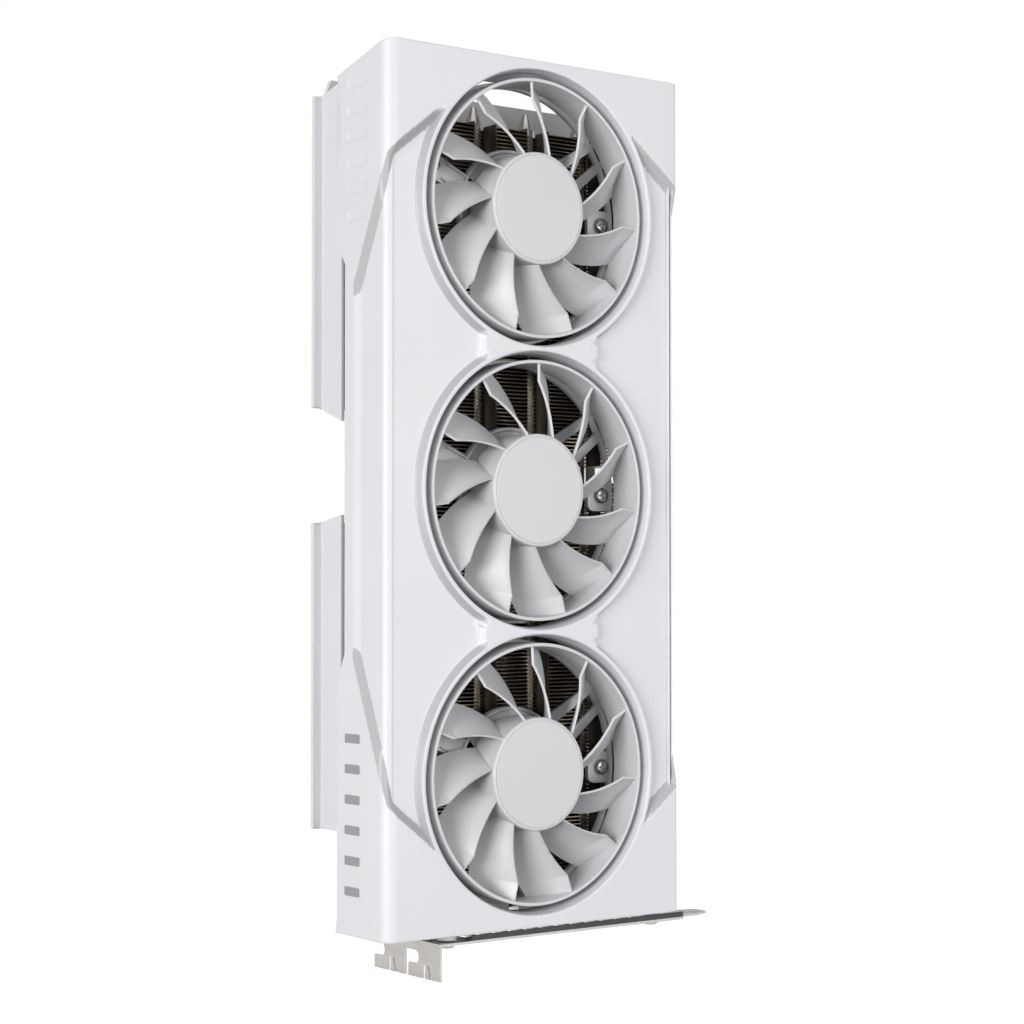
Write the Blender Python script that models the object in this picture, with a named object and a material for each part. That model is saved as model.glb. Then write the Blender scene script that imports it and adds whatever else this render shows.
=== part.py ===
"""Triple-fan graphics card, standing on its bracket end.

The design frame has X across the card from the power-socket side, Y from the fan face back to the
backplate, and Z along the card from the shroud's bracket end. One empty carries the design frame, placed
so that the world origin is on the bracket flange's seating face.
"""

import math

import bmesh
import bpy
from mathutils import Matrix, Vector

MM = 0.001
GAP = 0.3 * MM  # clearance between separate pieces that bear on each other
OVER = 1.0 * MM  # how far a cutter runs past the face it cuts
BITE = 0.5 * MM  # how far shapes that are joined run into each other
TINY = 1e-7  # points closer than this are one point

# Shroud
SHROUD_LENGTH = 290.0 * MM
SHROUD_WIDTH = 122.0 * MM
END_DEPTH = 30.0 * MM
MIDDLE_DEPTH = 24.6 * MM
CORNER_RADIUS = 4.5 * MM
FRONT_WALL = 4.6 * MM
SIDE_WALL = 2.6 * MM
END_WALL = 2.0 * MM
FRONT_SINK = 2.6 * MM  # how far the middle of the front lies behind the end caps and rings
SIDE_SINK = 1.3 * MM
TOP_SLANT = 8.0 * MM  # how much shorter the far end is at END_DEPTH than at the front
CAP_CORNER_RISE = 15.6 * MM  # how much the cap's border climbs from the front corner to its ring
CAP_CORNER_RUN = 19.6 * MM
CAP_HEIGHT_TOP = 36.8 * MM  # from the far end to the cap's border at the front corner
CAP_HEIGHT_FOOT = 43.5 * MM
SIDE_RAIL = 5.0 * MM  # raised rail along the back edge of each side
SIDE_SWEEP_TOP = 41.6 * MM  # how far each cap's border runs along the side while it reaches the rail
SIDE_SWEEP_FOOT = 46.5 * MM
RELIEF_FOOT = 91.0 * MM  # where the sides' shallower middle starts
RELIEF_TOP = 71.0 * MM  # from the far end to where it stops
RELIEF_RAMP_FOOT = 11.4 * MM
RELIEF_RAMP_TOP = 8.0 * MM
END_WINDOW_RIM = 7.8 * MM
RIB_SPOTS = (30.0 * MM, 120.0 * MM, 180.0 * MM, 258.0 * MM)
RIB_HEIGHT = 6.0 * MM
RIB_DEPTH = 3.4 * MM
BAND_LEFT = 39.4 * MM
BAND_RIGHT = 86.3 * MM

# Fans
FAN_PITCH = 94.9 * MM
FAN_X = 62.3 * MM
FOOT_FAN_Z = 50.6 * MM
OPENING_RADIUS = 46.6 * MM
OPENING_SEGMENTS = 56
RING_LIP = 1.4 * MM
RING_FLARE = 1.7 * MM
BLADES = 11
ROTOR_CLEARANCE = 2.8 * MM  # radial, between rotor ring and opening
ROTOR_RING_WALL = 1.2 * MM
ROTOR_FRONT = 1.0 * MM
ROTOR_DEPTH = 11.5 * MM
HUB_RADIUS = 19.0 * MM
HUB_CAP = 2.0 * MM
HUB_DEPTH = 14.0 * MM
HUB_WALL = 1.4 * MM
HUB_GROOVE_RADIUS = 17.9 * MM
HUB_GROOVE = 0.2 * MM
HUB_CLEARANCE = 0.9 * MM  # between the turning hub cap and what stands still behind it
BLADE_THICKNESS = 1.1 * MM
BLADE_INSET = 1.0 * MM  # how far a blade's two edges lie inside the ring's front and back
BLADE_FACE_TURN = 0.8  # a face's offset from the blade's middle goes mostly round the axis
BLADE_FACE_STEP = 0.6
BLADE_SWEEP = math.radians(19.0)  # how far a blade's tip leads its root
BLADE_WRAP = math.radians(16.5)  # how far a blade reaches round the axis from front edge to back edge
BLADE_KINK = 0.84  # share of the rotor radius where the front edge turns radial
BLADE_SWEEP_POWER = 0.85  # under 1, the front edge bows forward between hub and kink
BLADE_CAMBER = 0.9
FAN_PHASES = (math.radians(9.2), math.radians(5.0), math.radians(8.9))  # at rest, fan 1 to fan 3
MAGNET_WALL = 2.2 * MM
MAGNET_RECESS = 1.0 * MM
SHAFT_RADIUS = 1.5 * MM
SHAFT_RUNNING_GAP = 0.1 * MM
BEARING_WALL = 1.9 * MM
BEARING_HOUSING_WALL = 1.2 * MM
STATOR_GAP = 0.6 * MM
STATOR_ARMS = 4
STATOR_ARM_WIDTH = 4.8 * MM
STATOR_SLEEVE = 2.2 * MM
FRAME_RADIUS = 22.0 * MM
FRAME_PLATE = 1.6 * MM
FRAME_ARM_WIDTH = 7.0 * MM
FRAME_ARM_ROOT = 3.0 * MM
FRAME_EAR_RIM = 0.8 * MM
SCREW_SPOTS = (  # distance from the fan's axis, and angle about it
    (39.1 * MM, math.radians(-0.8)), (35.5 * MM, math.radians(157.0)), (35.5 * MM, math.radians(256.0)),
)
SCREW_SHANK = 1.2 * MM
SCREW_HEAD = 2.7 * MM
SCREW_CROWN = 1.9 * MM
SCREW_HEAD_DEPTH = 1.6 * MM
SCREW_HOLE = 1.5 * MM
SCREW_LENGTH = 6.0 * MM

# Cooler
STACK_FRONT = 19.5 * MM
STACK_LEFT = 7.0 * MM
STACK_RIGHT = 115.0 * MM
FOOT_STACK = (13.5 * MM, 149.5 * MM)
FAR_STACK = (155.5 * MM, 271.5 * MM)
WEB_FRONT = 25.5 * MM
WEB_BACK = 34.1 * MM
STACK_BACK = 43.6 * MM  # beyond the board, where the fins reach the backplate
BOARD_CLEARANCE = 2.0 * MM
FIN_PITCH = 8.0 * MM
FIN_SLOT = 3.6 * MM
PIPE_RADIUS = 3.0 * MM
PIPE_X = (55.8 * MM, 78.3 * MM, 101.2 * MM)
PIPE_Y = 30.2 * MM
PIPE_CONE = 6.0 * MM
PIPE_INSET = 3.0 * MM
PIPE_PROUD = 7.1 * MM  # how far a pipe's closed tip stands out of the far stack
COLD_PLATE_SIZE = 56.0 * MM
COLD_PLATE_THICK = 2.2 * MM
COLD_PLATE_BOSS_RIM = 3.0 * MM

# Board
BOARD_FRONT = 39.8 * MM
BOARD_THICK = 1.57 * MM
BOARD_LEFT = 11.0 * MM
BOARD_EDGE = 117.0 * MM
BOARD_END = 196.0 * MM
BOARD_FOOT = 0.6 * MM
EDGE_FINGER_TIP = 124.9 * MM
EDGE_FINGER_START = 47.0 * MM
EDGE_FINGER_KEY = (58.6 * MM, 60.5 * MM)
EDGE_FINGER_END = 132.2 * MM
EDGE_FINGER_CHAMFER = 0.8 * MM
CHIP_X = 75.0 * MM
CHIP_Z = 84.0 * MM
PACKAGE_SIZE = 40.0 * MM
PACKAGE_THICK = 1.2 * MM
DIE_SIZE = 17.0 * MM
DIE_THICK = 0.6 * MM
MEMORY_SIZE = (14.0 * MM, 12.0 * MM)
MEMORY_THICK = 1.1 * MM
MEMORY_OFFSET = (30.0 * MM, 9.0 * MM)
CHOKE_SIZE = 7.0 * MM
CHOKE_HEIGHT = 4.2 * MM
CHOKE_BEVEL = 0.6 * MM
CHOKE_Z = (128.0 * MM, 139.0 * MM, 150.0 * MM)
CHOKE_X = 98.0 * MM

# Power socket
POWER_Z = 152.5 * MM
POWER_LENGTH = 18.4 * MM
POWER_HEIGHT = 9.6 * MM
POWER_DEPTH = 12.8 * MM
POWER_CELL = 3.4 * MM
POWER_CELL_PITCH = 4.2 * MM
POWER_CELL_DEPTH = 9.5 * MM
POWER_PIN = 1.1 * MM
POWER_PIN_INSET = 2.0 * MM

# Backplate
BACK_FACE = 45.6 * MM
BACK_THICK = 1.6 * MM
WING_INSET = 3.1 * MM
WING_WALL = 1.2 * MM
WING_FRONT = 31.6 * MM
WING_FOOT = 32.6 * MM
WING_GAP_FOOT = (137.0 * MM, 134.5 * MM)  # the gap's ends, at the wings' front edge and at the rear face
WING_GAP_FAR = (168.0 * MM, 173.0 * MM)
COVER_STEP = 13.6 * MM  # where the cover's left edge lies beside the wings' gap and below the wings
BACK_RIGHT_INSET = 1.5 * MM  # from the shroud's right face to the rear cover's edge
VENT_COUNT = 5
VENT_WIDTH = 7.0 * MM
VENT_PITCH = 12.0 * MM
VENT_START = 208.0 * MM
VENT_INSET = 8.0 * MM
STANDOFF_RADIUS = 2.6 * MM
COUNTERBORE_DEPTH = 1.1 * MM
BACK_SCREW_HEAD_DEPTH = 0.7 * MM
BACK_SCREW_SPOTS = tuple((x, z) for z in (20.0 * MM, 186.0 * MM) for x in (18.0 * MM, 110.0 * MM))

# Chip clamp
RETENTION_THICK = 1.2 * MM
RETENTION_REACH = 26.0 * MM
RETENTION_WIDTH = 8.0 * MM

# Bracket
SHEET = 0.86 * MM
SHEET_OVERLAP = 0.17 * MM  # how far folded parts of the sheet run into each other
SLOT_PITCH = 20.32 * MM
SLOT_SHEET_WIDTH = 18.42 * MM
FLANGE_X = 24.5 * MM  # the flange's outer face
FLANGE_LENGTH = 11.4 * MM
BRACKET_FRONT = 5.0 * MM
BRACKET_OUTSIDE = -3.9 * MM
BRACKET_SHOULDER = 128.6 * MM
BRACKET_TONGUE = 138.6 * MM
BRACKET_TIP = 144.7 * MM
TONGUE_TAPER = 4.0 * MM
TONGUE_WIDTH = 10.2 * MM
TIP_WIDTH = 6.0 * MM
NOTCH_HEIGHT = 4.4 * MM
NOTCH_DEPTH = 6.2 * MM
NOTCH_DROP = 2.6 * MM
SLIT_HEIGHT = 4.6 * MM
FLANGE_SLITS = (("a", 9.0 * MM, 9.0 * MM, 1.6 * MM), ("b", 13.6 * MM, 11.8 * MM, 1.2 * MM))
LIP_START = 37.0 * MM
LIP_HEIGHT = 2.5 * MM
PORT_COUNT = 4
HDMI_PLACE = 3
PORT_PITCH = 21.2 * MM
PORT_START = 44.0 * MM
PORT_LENGTH = 17.0 * MM
HDMI_LENGTH = 15.0 * MM
PORT_HEIGHT = 5.8 * MM
PORT_WALL = 0.6 * MM
PORT_DEPTH = 16.0 * MM
PORT_SOCKET = 9.0 * MM
PORT_PROUD = 0.4 * MM
PORT_TONGUE = 1.0 * MM
PORT_TONGUE_SHARE = 0.75  # of the mouth's width
PORT_TONGUE_INSET = 1.2 * MM
AIR_SLOTS = 12
AIR_SLOT_START = 40.0 * MM
AIR_SLOT_PITCH = 6.6 * MM
AIR_SLOT_WIDTH = 4.4 * MM
AIR_SLOT_SPAN = (4.0 * MM, 17.0 * MM)  # from the bracket's front edge
BRACKET_SCREW_X = (31.0 * MM, 118.0 * MM)
BRACKET_SCREW_Y = 10.5 * MM
BRACKET_SCREW_LENGTH = 7.0 * MM
BRACKET_SCREW_HEAD_DEPTH = 1.2 * MM
BRACKET_BOSS = 3.2 * MM

SEAT_INSET = 2.6 * MM  # from the bracket's front edge to the seat's reference point
SEAT = (FLANGE_X + SHEET, BRACKET_FRONT + SEAT_INSET, BRACKET_OUTSIDE - 0.5 * FLANGE_LENGTH)


def finish(name, colour, roughness, metallic=0.0):
    """A Principled material, made once."""
    material = bpy.data.materials.get(name)
    if material is None:
        material = bpy.data.materials.new(name)
        material.use_nodes = True
        shader = material.node_tree.nodes["Principled BSDF"]
        shader.inputs["Base Color"].default_value = (*colour, 1.0)
        shader.inputs["Roughness"].default_value = roughness
        shader.inputs["Metallic"].default_value = metallic
        material.diffuse_color = (*colour, 1.0)
    return material


def white():
    return finish("white_plastic", (0.86, 0.86, 0.88), 0.42)


def nickel():
    return finish("nickel_plate", (0.62, 0.60, 0.58), 0.30, 1.0)


def dark_plastic():
    return finish("dark_plastic", (0.03, 0.03, 0.035), 0.45)


def place(name, bm, material, parent, location=(0.0, 0.0, 0.0), smooth=False):
    """Turns a bmesh into a named object under parent."""
    bmesh.ops.recalc_face_normals(bm, faces=bm.faces)
    mesh = bpy.data.meshes.new(name)
    bm.to_mesh(mesh)
    bm.free()
    if smooth:
        mesh.shade_smooth()
        mesh.set_sharp_from_angle(angle=math.radians(35.0))
    mesh.materials.append(material)
    thing = bpy.data.objects.new(name, mesh)
    thing.location = location
    thing.parent = parent
    bpy.context.scene.collection.objects.link(thing)
    return thing


def combine(thing, tool, operation):
    """Adds a Boolean with tool, which stays in the file as a hidden wire helper."""
    tool.hide_render = True
    tool.display_type = "WIRE"
    modifier = thing.modifiers.new(tool.name, "BOOLEAN")
    modifier.operation = operation
    modifier.object = tool


def cut(thing, *tools):
    for tool in tools:
        combine(thing, tool, "DIFFERENCE")


def join(thing, *tools):
    for tool in tools:
        combine(thing, tool, "UNION")


def block(low, high):
    """A box from its lowest to its highest corner."""
    bm = bmesh.new()
    size = [b - a for a, b in zip(low, high)]
    centre = [(a + b) / 2 for a, b in zip(low, high)]
    matrix = Matrix.Translation(centre) @ Matrix.Diagonal((*size, 1.0))
    bmesh.ops.create_cube(bm, size=1.0, matrix=matrix)
    return bm


def prism(outline, axis, start, end):
    """An outline of points extruded from start to end. The outline's two coordinates are the other axes."""
    bm = bmesh.new()
    order = {"X": (2, 0, 1), "Y": (0, 2, 1), "Z": (0, 1, 2)}[axis]

    def point(a, b, along):
        values = (a, b, along)
        return tuple(values[i] for i in order)

    face = bm.faces.new([bm.verts.new(point(a, b, start)) for a, b in outline])
    made = bmesh.ops.extrude_face_region(bm, geom=[face])
    moved = [item for item in made["geom"] if isinstance(item, bmesh.types.BMVert)]
    step = [0.0, 0.0, 0.0]
    step["XYZ".index(axis)] = end - start
    bmesh.ops.translate(bm, verts=moved, vec=step)
    return bm


def turned(profile, segments, axis="Y", centre=(0.0, 0.0, 0.0)):
    """A closed profile of (radius, along) points spun about an axis through centre."""
    bm = bmesh.new()
    verts = [bm.verts.new((radius, along, 0.0)) for radius, along in profile]
    edges = [bm.edges.new((a, b)) for a, b in zip(verts, verts[1:] + verts[:1])]
    bmesh.ops.spin(
        bm, geom=verts + edges, cent=(0, 0, 0), axis=(0, 1, 0), dvec=(0, 0, 0),
        angle=math.tau, steps=segments, use_duplicate=False,
    )
    bmesh.ops.remove_doubles(bm, verts=bm.verts, dist=TINY)
    on_axis = [edge for edge in bm.edges
               if all(abs(v.co.x) + abs(v.co.z) < TINY for v in edge.verts)]
    bmesh.ops.delete(bm, geom=on_axis, context="EDGES")
    turn = {
        "X": Matrix.Rotation(-math.pi / 2, 4, "Z"),
        "Y": Matrix.Identity(4),
        "Z": Matrix.Rotation(math.pi / 2, 4, "X"),
    }
    bmesh.ops.transform(bm, matrix=Matrix.Translation(centre) @ turn[axis], verts=bm.verts)
    return bm


def across_shroud(outline):
    """An outline of (y, z) points carried right across the shroud's width."""
    return prism(outline, "X", -OVER, SHROUD_WIDTH + OVER)


def rod(radius, start, end, segments, axis="Y", centre=(0.0, 0.0, 0.0)):
    return turned([(0, start), (radius, start), (radius, end), (0, end)], segments, axis, centre)


def tube(inner, outer, start, end, segments, axis="Y", centre=(0.0, 0.0, 0.0)):
    profile = [(inner, start), (outer, start), (outer, end), (inner, end)]
    return turned(profile, segments, axis, centre)


def fan_centres():
    return [(FAN_X, FOOT_FAN_Z + i * FAN_PITCH) for i in (2, 1, 0)]


def corner_arc(cx, cy, radius, start, steps=5):
    """Points of a quarter circle that begins at the angle start, in degrees."""
    angles = [math.radians(start + 90.0 * i / steps) for i in range(steps + 1)]
    return [(cx + radius * math.cos(a), cy + radius * math.sin(a)) for a in angles]


def channel_outline(inset, front, back, radius):
    """The shroud's cross-section: a rectangle open at the back, with two round front corners."""
    left, right = inset, SHROUD_WIDTH - inset
    points = [(left, back)]
    points += corner_arc(left + radius, front + radius, radius, 180.0)
    points += corner_arc(right - radius, front + radius, radius, 270.0)
    points.append((right, back))
    return points


def front_cap_border(side):
    """The recess in the front on one side, as (x, z) points: side is -1 for left and 1 for right."""
    edge = 0.0 if side < 0 else SHROUD_WIDTH
    inner = BAND_LEFT if side < 0 else BAND_RIGHT
    top = SHROUD_LENGTH - CAP_HEIGHT_TOP
    slope = CAP_CORNER_RISE / CAP_CORNER_RUN
    return [
        (edge + side * OVER, top - slope * OVER),
        (edge - side * CAP_CORNER_RUN, top + CAP_CORNER_RISE),
        (inner, top + CAP_CORNER_RISE),
        (inner, CAP_HEIGHT_FOOT - CAP_CORNER_RISE),
        (edge - side * CAP_CORNER_RUN, CAP_HEIGHT_FOOT - CAP_CORNER_RISE),
        (edge + side * OVER, CAP_HEIGHT_FOOT + slope * OVER),
    ]


def side_recess():
    """The recess in a side face, as (y, z) points."""
    top = SHROUD_LENGTH - CAP_HEIGHT_TOP
    rail = MIDDLE_DEPTH - SIDE_RAIL
    return [
        (-OVER, top), (rail, top - SIDE_SWEEP_TOP),
        (rail, CAP_HEIGHT_FOOT + SIDE_SWEEP_FOOT), (-OVER, CAP_HEIGHT_FOOT),
    ]


def end_slant():
    """What the slanted far end removes, as (y, z) points."""
    slope = TOP_SLANT / END_DEPTH
    far = 2 * END_DEPTH
    return [
        (0.0, SHROUD_LENGTH), (far, SHROUD_LENGTH - slope * far),
        (far, SHROUD_LENGTH + OVER), (0.0, SHROUD_LENGTH + OVER),
    ]


def middle_relief():
    """What the shallower middle of the sides removes, as (y, z) points."""
    far = END_DEPTH + OVER
    rise = OVER / (END_DEPTH - MIDDLE_DEPTH)
    foot, top = RELIEF_FOOT, SHROUD_LENGTH - RELIEF_TOP
    return [
        (far, foot - RELIEF_RAMP_FOOT * (1 + rise)), (MIDDLE_DEPTH, foot),
        (MIDDLE_DEPTH, top), (far, top + RELIEF_RAMP_TOP * (1 + rise)),
    ]


def ring_keeper():
    """A flared disc round an opening that stays at full height where the front is recessed."""
    outer = OPENING_RADIUS + RING_LIP
    slope = RING_FLARE / FRONT_SINK
    front, back = -2 * OVER, FRONT_SINK + OVER
    profile = [(0, front), (outer + slope * front, front), (outer + slope * back, back), (0, back)]
    return turned(profile, OPENING_SEGMENTS)


def cut_recesses(shroud, card):
    """The sunken middle of the front, round the three rings, and of the two sides."""
    for label, side in (("left", -1), ("right", 1)):
        front = prism(front_cap_border(side), "Y", -OVER, FRONT_SINK)
        recess = place(f"front_recess_{label}", front, white(), card)
        for index, (x, z) in enumerate(fan_centres(), 1):
            keeper = place(f"opening_ring_{label}_{index}", ring_keeper(), white(), card, (x, 0.0, z))
            cut(recess, keeper)
        cut(shroud, recess)
        edge = 0.0 if side < 0 else SHROUD_WIDTH
        tool = prism(side_recess(), "X", edge + side * OVER, edge - side * SIDE_SINK)
        cut(shroud, place(f"side_recess_{label}", tool, white(), card))


def hollow_shroud(shroud, card):
    """The space inside, the fan ducts, and the window in each end wall behind the bracket's bosses."""
    inner = channel_outline(SIDE_WALL, FRONT_WALL, END_DEPTH + OVER, CORNER_RADIUS / 2)
    cavity = prism(inner, "Z", END_WALL, SHROUD_LENGTH - TOP_SLANT - END_WALL)
    cut(shroud, place("cavity", cavity, white(), card))
    for index, (x, z) in enumerate(fan_centres(), 1):
        duct = rod(OPENING_RADIUS, -OVER, ROTOR_FRONT + HUB_DEPTH + OVER, OPENING_SEGMENTS)
        cut(shroud, place(f"fan_opening_{index}", duct, white(), card, (x, 0.0, z)))
    depth = BRACKET_SCREW_Y + BRACKET_BOSS + OVER
    spans = (
        ("foot", -OVER, END_WALL + OVER),
        ("far", SHROUD_LENGTH - TOP_SLANT - 2 * END_WALL, SHROUD_LENGTH + OVER),
    )
    for label, start, end in spans:
        low = (END_WINDOW_RIM, depth, start)
        high = (SHROUD_WIDTH - END_WINDOW_RIM, END_DEPTH + OVER, end)
        cut(shroud, place(f"end_window_{label}", block(low, high), white(), card))


def add_ribs(shroud, card):
    """Ribs on the inner faces of the sides that bear on the fin stacks."""
    front = STACK_FRONT + GAP
    walls = (
        ("left", SIDE_WALL - BITE, STACK_LEFT - GAP),
        ("right", STACK_RIGHT + GAP, SHROUD_WIDTH - SIDE_WALL + BITE),
    )
    for index, z in enumerate(RIB_SPOTS, 1):
        for label, low, high in walls:
            rib = block((low, front, z), (high, front + RIB_DEPTH, z + RIB_HEIGHT))
            join(shroud, place(f"stack_rib_{label}_{index}", rib, white(), card))


def add_bracket_bosses(shroud, card):
    """Hollow bosses under the foot wall that the bracket's screws go into."""
    top = BRACKET_OUTSIDE + SHEET + GAP
    for index, x in enumerate(BRACKET_SCREW_X, 1):
        spot = (x, BRACKET_SCREW_Y, 0.0)
        boss = rod(BRACKET_BOSS, top, BITE, 14, "Z", spot)
        join(shroud, place(f"bracket_boss_{index}", boss, white(), card))
        hole = rod(SCREW_HOLE, top - OVER, END_WALL + OVER, 12, "Z", spot)
        cut(shroud, place(f"bracket_boss_hole_{index}", hole, white(), card))


def build_shroud(card):
    section = channel_outline(0.0, 0.0, END_DEPTH, CORNER_RADIUS)
    shroud = place("shroud", prism(section, "Z", 0.0, SHROUD_LENGTH), white(), card)
    cut_recesses(shroud, card)
    hollow_shroud(shroud, card)
    add_ribs(shroud, card)
    add_bracket_bosses(shroud, card)
    cut(shroud, place("end_slant", across_shroud(end_slant()), white(), card))
    cut(shroud, place("middle_relief", across_shroud(middle_relief()), white(), card))


def rotor_radius():
    return OPENING_RADIUS - ROTOR_CLEARANCE


def lead_angle(radius):
    """How far a blade's front edge leads its root: it sweeps up to the kink, then runs radially."""
    kink = BLADE_KINK * rotor_radius()
    share = min((radius - HUB_RADIUS) / (kink - HUB_RADIUS), 1.0)
    return BLADE_SWEEP * max(share, 0.0) ** BLADE_SWEEP_POWER


def blade_section(radius, chord_steps):
    """The closed section of a blade at one radius, as points about the Y axis."""
    front, back = [], []
    half = 0.5 * BLADE_THICKNESS
    for i in range(chord_steps + 1):
        share = i / chord_steps
        angle = lead_angle(radius) - BLADE_WRAP * share
        depth = ROTOR_FRONT + BLADE_INSET + (ROTOR_DEPTH - 2 * BLADE_INSET) * share ** BLADE_CAMBER
        for side, row in ((-1, front), (1, back)):
            turn = angle + side * half * BLADE_FACE_TURN / radius
            y = depth + side * half * BLADE_FACE_STEP
            row.append((radius * math.cos(turn), y, radius * math.sin(turn)))
    return front + back[::-1]


def add_blade(bm, phase):
    """One blade from inside the hub wall to inside the ring."""
    inner = HUB_RADIUS - 0.5 * HUB_WALL
    outer = rotor_radius() - 0.5 * ROTOR_RING_WALL
    kink = BLADE_KINK * rotor_radius()
    turn = Matrix.Rotation(-phase, 4, "Y")
    rings = []
    for radius in (inner, 0.5 * (inner + kink), kink, outer):
        section = blade_section(radius, 2)
        rings.append([bm.verts.new(turn @ Vector(point)) for point in section])
    for near, far in zip(rings, rings[1:]):
        for i in range(len(near)):
            j = (i + 1) % len(near)
            a, b, c, d = near[i], near[j], far[j], far[i]
            front_side = i < len(near) // 2
            for corners in ((a, b, c), (a, c, d)) if front_side else ((a, b, d), (b, c, d)):
                bm.faces.new(corners)
    for ring in (rings[0], rings[-1]):
        count = len(ring)
        for i in range(count // 2 - 1):
            bm.faces.new((ring[i], ring[i + 1], ring[count - 2 - i]))
            bm.faces.new((ring[i], ring[count - 2 - i], ring[count - 1 - i]))


def build_rotor(label, card, spot, phase):
    """Hub cap, blades and the ring that joins their tips."""
    radius = rotor_radius()
    hub_back = ROTOR_FRONT + HUB_DEPTH
    inside = HUB_RADIUS - HUB_WALL
    groove = HUB_GROOVE_RADIUS
    hub = turned([
        (0, ROTOR_FRONT), (groove - HUB_GROOVE, ROTOR_FRONT), (groove, ROTOR_FRONT + 2 * HUB_GROOVE),
        (HUB_RADIUS, ROTOR_FRONT + 3 * HUB_GROOVE), (HUB_RADIUS, hub_back), (inside, hub_back),
        (inside, ROTOR_FRONT + HUB_CAP), (0, ROTOR_FRONT + HUB_CAP),
    ], 28)
    rotor = place(f"{label}_rotor", hub, white(), card, spot, smooth=True)
    for index in range(BLADES):
        blade = bmesh.new()
        add_blade(blade, phase + index * math.tau / BLADES)
        join(rotor, place(f"{label}_blade_{index + 1}", blade, white(), card, spot))
    wall = tube(radius - ROTOR_RING_WALL, radius, ROTOR_FRONT, ROTOR_FRONT + ROTOR_DEPTH, 40)
    join(rotor, place(f"{label}_rotor_ring", wall, white(), card, spot))


def housing_front():
    """Where the bearing housing starts, a running clearance behind the hub cap."""
    return ROTOR_FRONT + HUB_CAP + 2 * HUB_CLEARANCE


def frame_front():
    """Where the fan frame's plate starts, so that its back lies on the fin stacks."""
    return STACK_FRONT - GAP - FRAME_PLATE


def build_motor(label, card, spot):
    """The magnet and shaft that turn with the rotor, and the bearing and stator that they run on."""
    cap_back = ROTOR_FRONT + HUB_CAP
    hub_back = ROTOR_FRONT + HUB_DEPTH
    magnet_outer = HUB_RADIUS - HUB_WALL - GAP
    magnet_inner = magnet_outer - MAGNET_WALL
    magnet = tube(magnet_inner, magnet_outer, cap_back + GAP, hub_back - MAGNET_RECESS, 24)
    ferrite = finish("ferrite", (0.06, 0.055, 0.05), 0.6)
    place(f"{label}_magnet", magnet, ferrite, card, spot, smooth=True)
    shaft_end = frame_front() - GAP
    shaft = rod(SHAFT_RADIUS, cap_back + GAP, shaft_end, 20)
    steel = finish("motor_steel", (0.5, 0.5, 0.52), 0.35, 1.0)
    place(f"{label}_shaft", shaft, steel, card, spot, smooth=True)
    bore = SHAFT_RADIUS + SHAFT_RUNNING_GAP
    bearing_outer = bore + BEARING_WALL
    bearing = tube(bore, bearing_outer, cap_back + 4 * GAP, shaft_end - 2 * GAP, 20)
    bronze = finish("sintered_bronze", (0.55, 0.38, 0.2), 0.45, 1.0)
    place(f"{label}_bearing", bearing, bronze, card, spot, smooth=True)
    core_inner = bearing_outer + BEARING_HOUSING_WALL + 2 * GAP
    build_stator(label, card, spot, core_inner, magnet_inner - STATOR_GAP)


def build_stator(label, card, spot, core_inner, core_outer):
    """The wound core: a sleeve on the bearing housing, with arms that end short of the magnet."""
    front, back = housing_front(), ROTOR_FRONT + HUB_DEPTH - GAP
    copper = finish("copper_winding", (0.6, 0.27, 0.13), 0.4, 1.0)
    sleeve = tube(core_inner, core_inner + STATOR_SLEEVE, front, back, 20)
    stator = place(f"{label}_stator", sleeve, copper, card, spot)
    half = STATOR_ARM_WIDTH / 2
    for index in range(STATOR_ARMS):
        low = (core_inner + STATOR_SLEEVE / 2, front + 2 * GAP, -half)
        arm = block(low, (core_outer, back - 2 * GAP, half))
        turn = Matrix.Rotation(index * math.tau / STATOR_ARMS, 4, "Y")
        bmesh.ops.transform(arm, matrix=turn, verts=arm.verts)
        join(stator, place(f"{label}_stator_arm_{index + 1}", arm, copper, card, spot))


def screw_spot(reach, angle):
    return reach * math.cos(angle), reach * math.sin(angle)


def build_fan_frame(label, card, spot):
    """The plate behind the motor, with its bearing housing and three arms that end in screw ears."""
    front = frame_front()
    back = front + FRAME_PLATE
    inner = SHAFT_RADIUS + SHAFT_RUNNING_GAP + BEARING_WALL + GAP
    outer = inner + BEARING_HOUSING_WALL
    plate = turned([
        (0, front), (inner, front), (inner, housing_front()), (outer, housing_front()),
        (outer, front), (FRAME_RADIUS, front), (FRAME_RADIUS, back), (0, back),
    ], 24)
    frame = place(f"{label}_frame", plate, white(), card, spot, smooth=True)
    half = FRAME_ARM_WIDTH / 2
    for index, (reach, angle) in enumerate(SCREW_SPOTS, 1):
        arm = block((FRAME_RADIUS - FRAME_ARM_ROOT, front, -half), (reach, back, half))
        bmesh.ops.transform(arm, matrix=Matrix.Rotation(-angle, 4, "Y"), verts=arm.verts)
        x, z = screw_spot(reach, angle)
        ear = rod(half + FRAME_EAR_RIM, front, back, 14, centre=(x, 0.0, z))
        join(frame, place(f"{label}_arm_{index}", arm, white(), card, spot))
        join(frame, place(f"{label}_ear_{index}", ear, white(), card, spot))
        hole = rod(SCREW_HOLE, front - OVER, back + OVER, 10, centre=(x, 0.0, z))
        cut(frame, place(f"{label}_ear_hole_{index}", hole, white(), card, spot))
        build_fan_screw(f"{label}_screw_{index}", card, (spot[0] + x, spot[1], spot[2] + z))


def pan_head(seat, depth, outward):
    """Half the outline of a pan head on a seat, as (radius, along) points from its crown to its rim."""
    crown, shoulder = seat + outward * depth, seat + outward * 0.5 * depth
    return [(0, crown), (SCREW_CROWN, crown), (SCREW_HEAD, shoulder), (SCREW_HEAD, seat)]


def screw_steel():
    return finish("screw_steel", (0.45, 0.44, 0.42), 0.3, 1.0)


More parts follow.
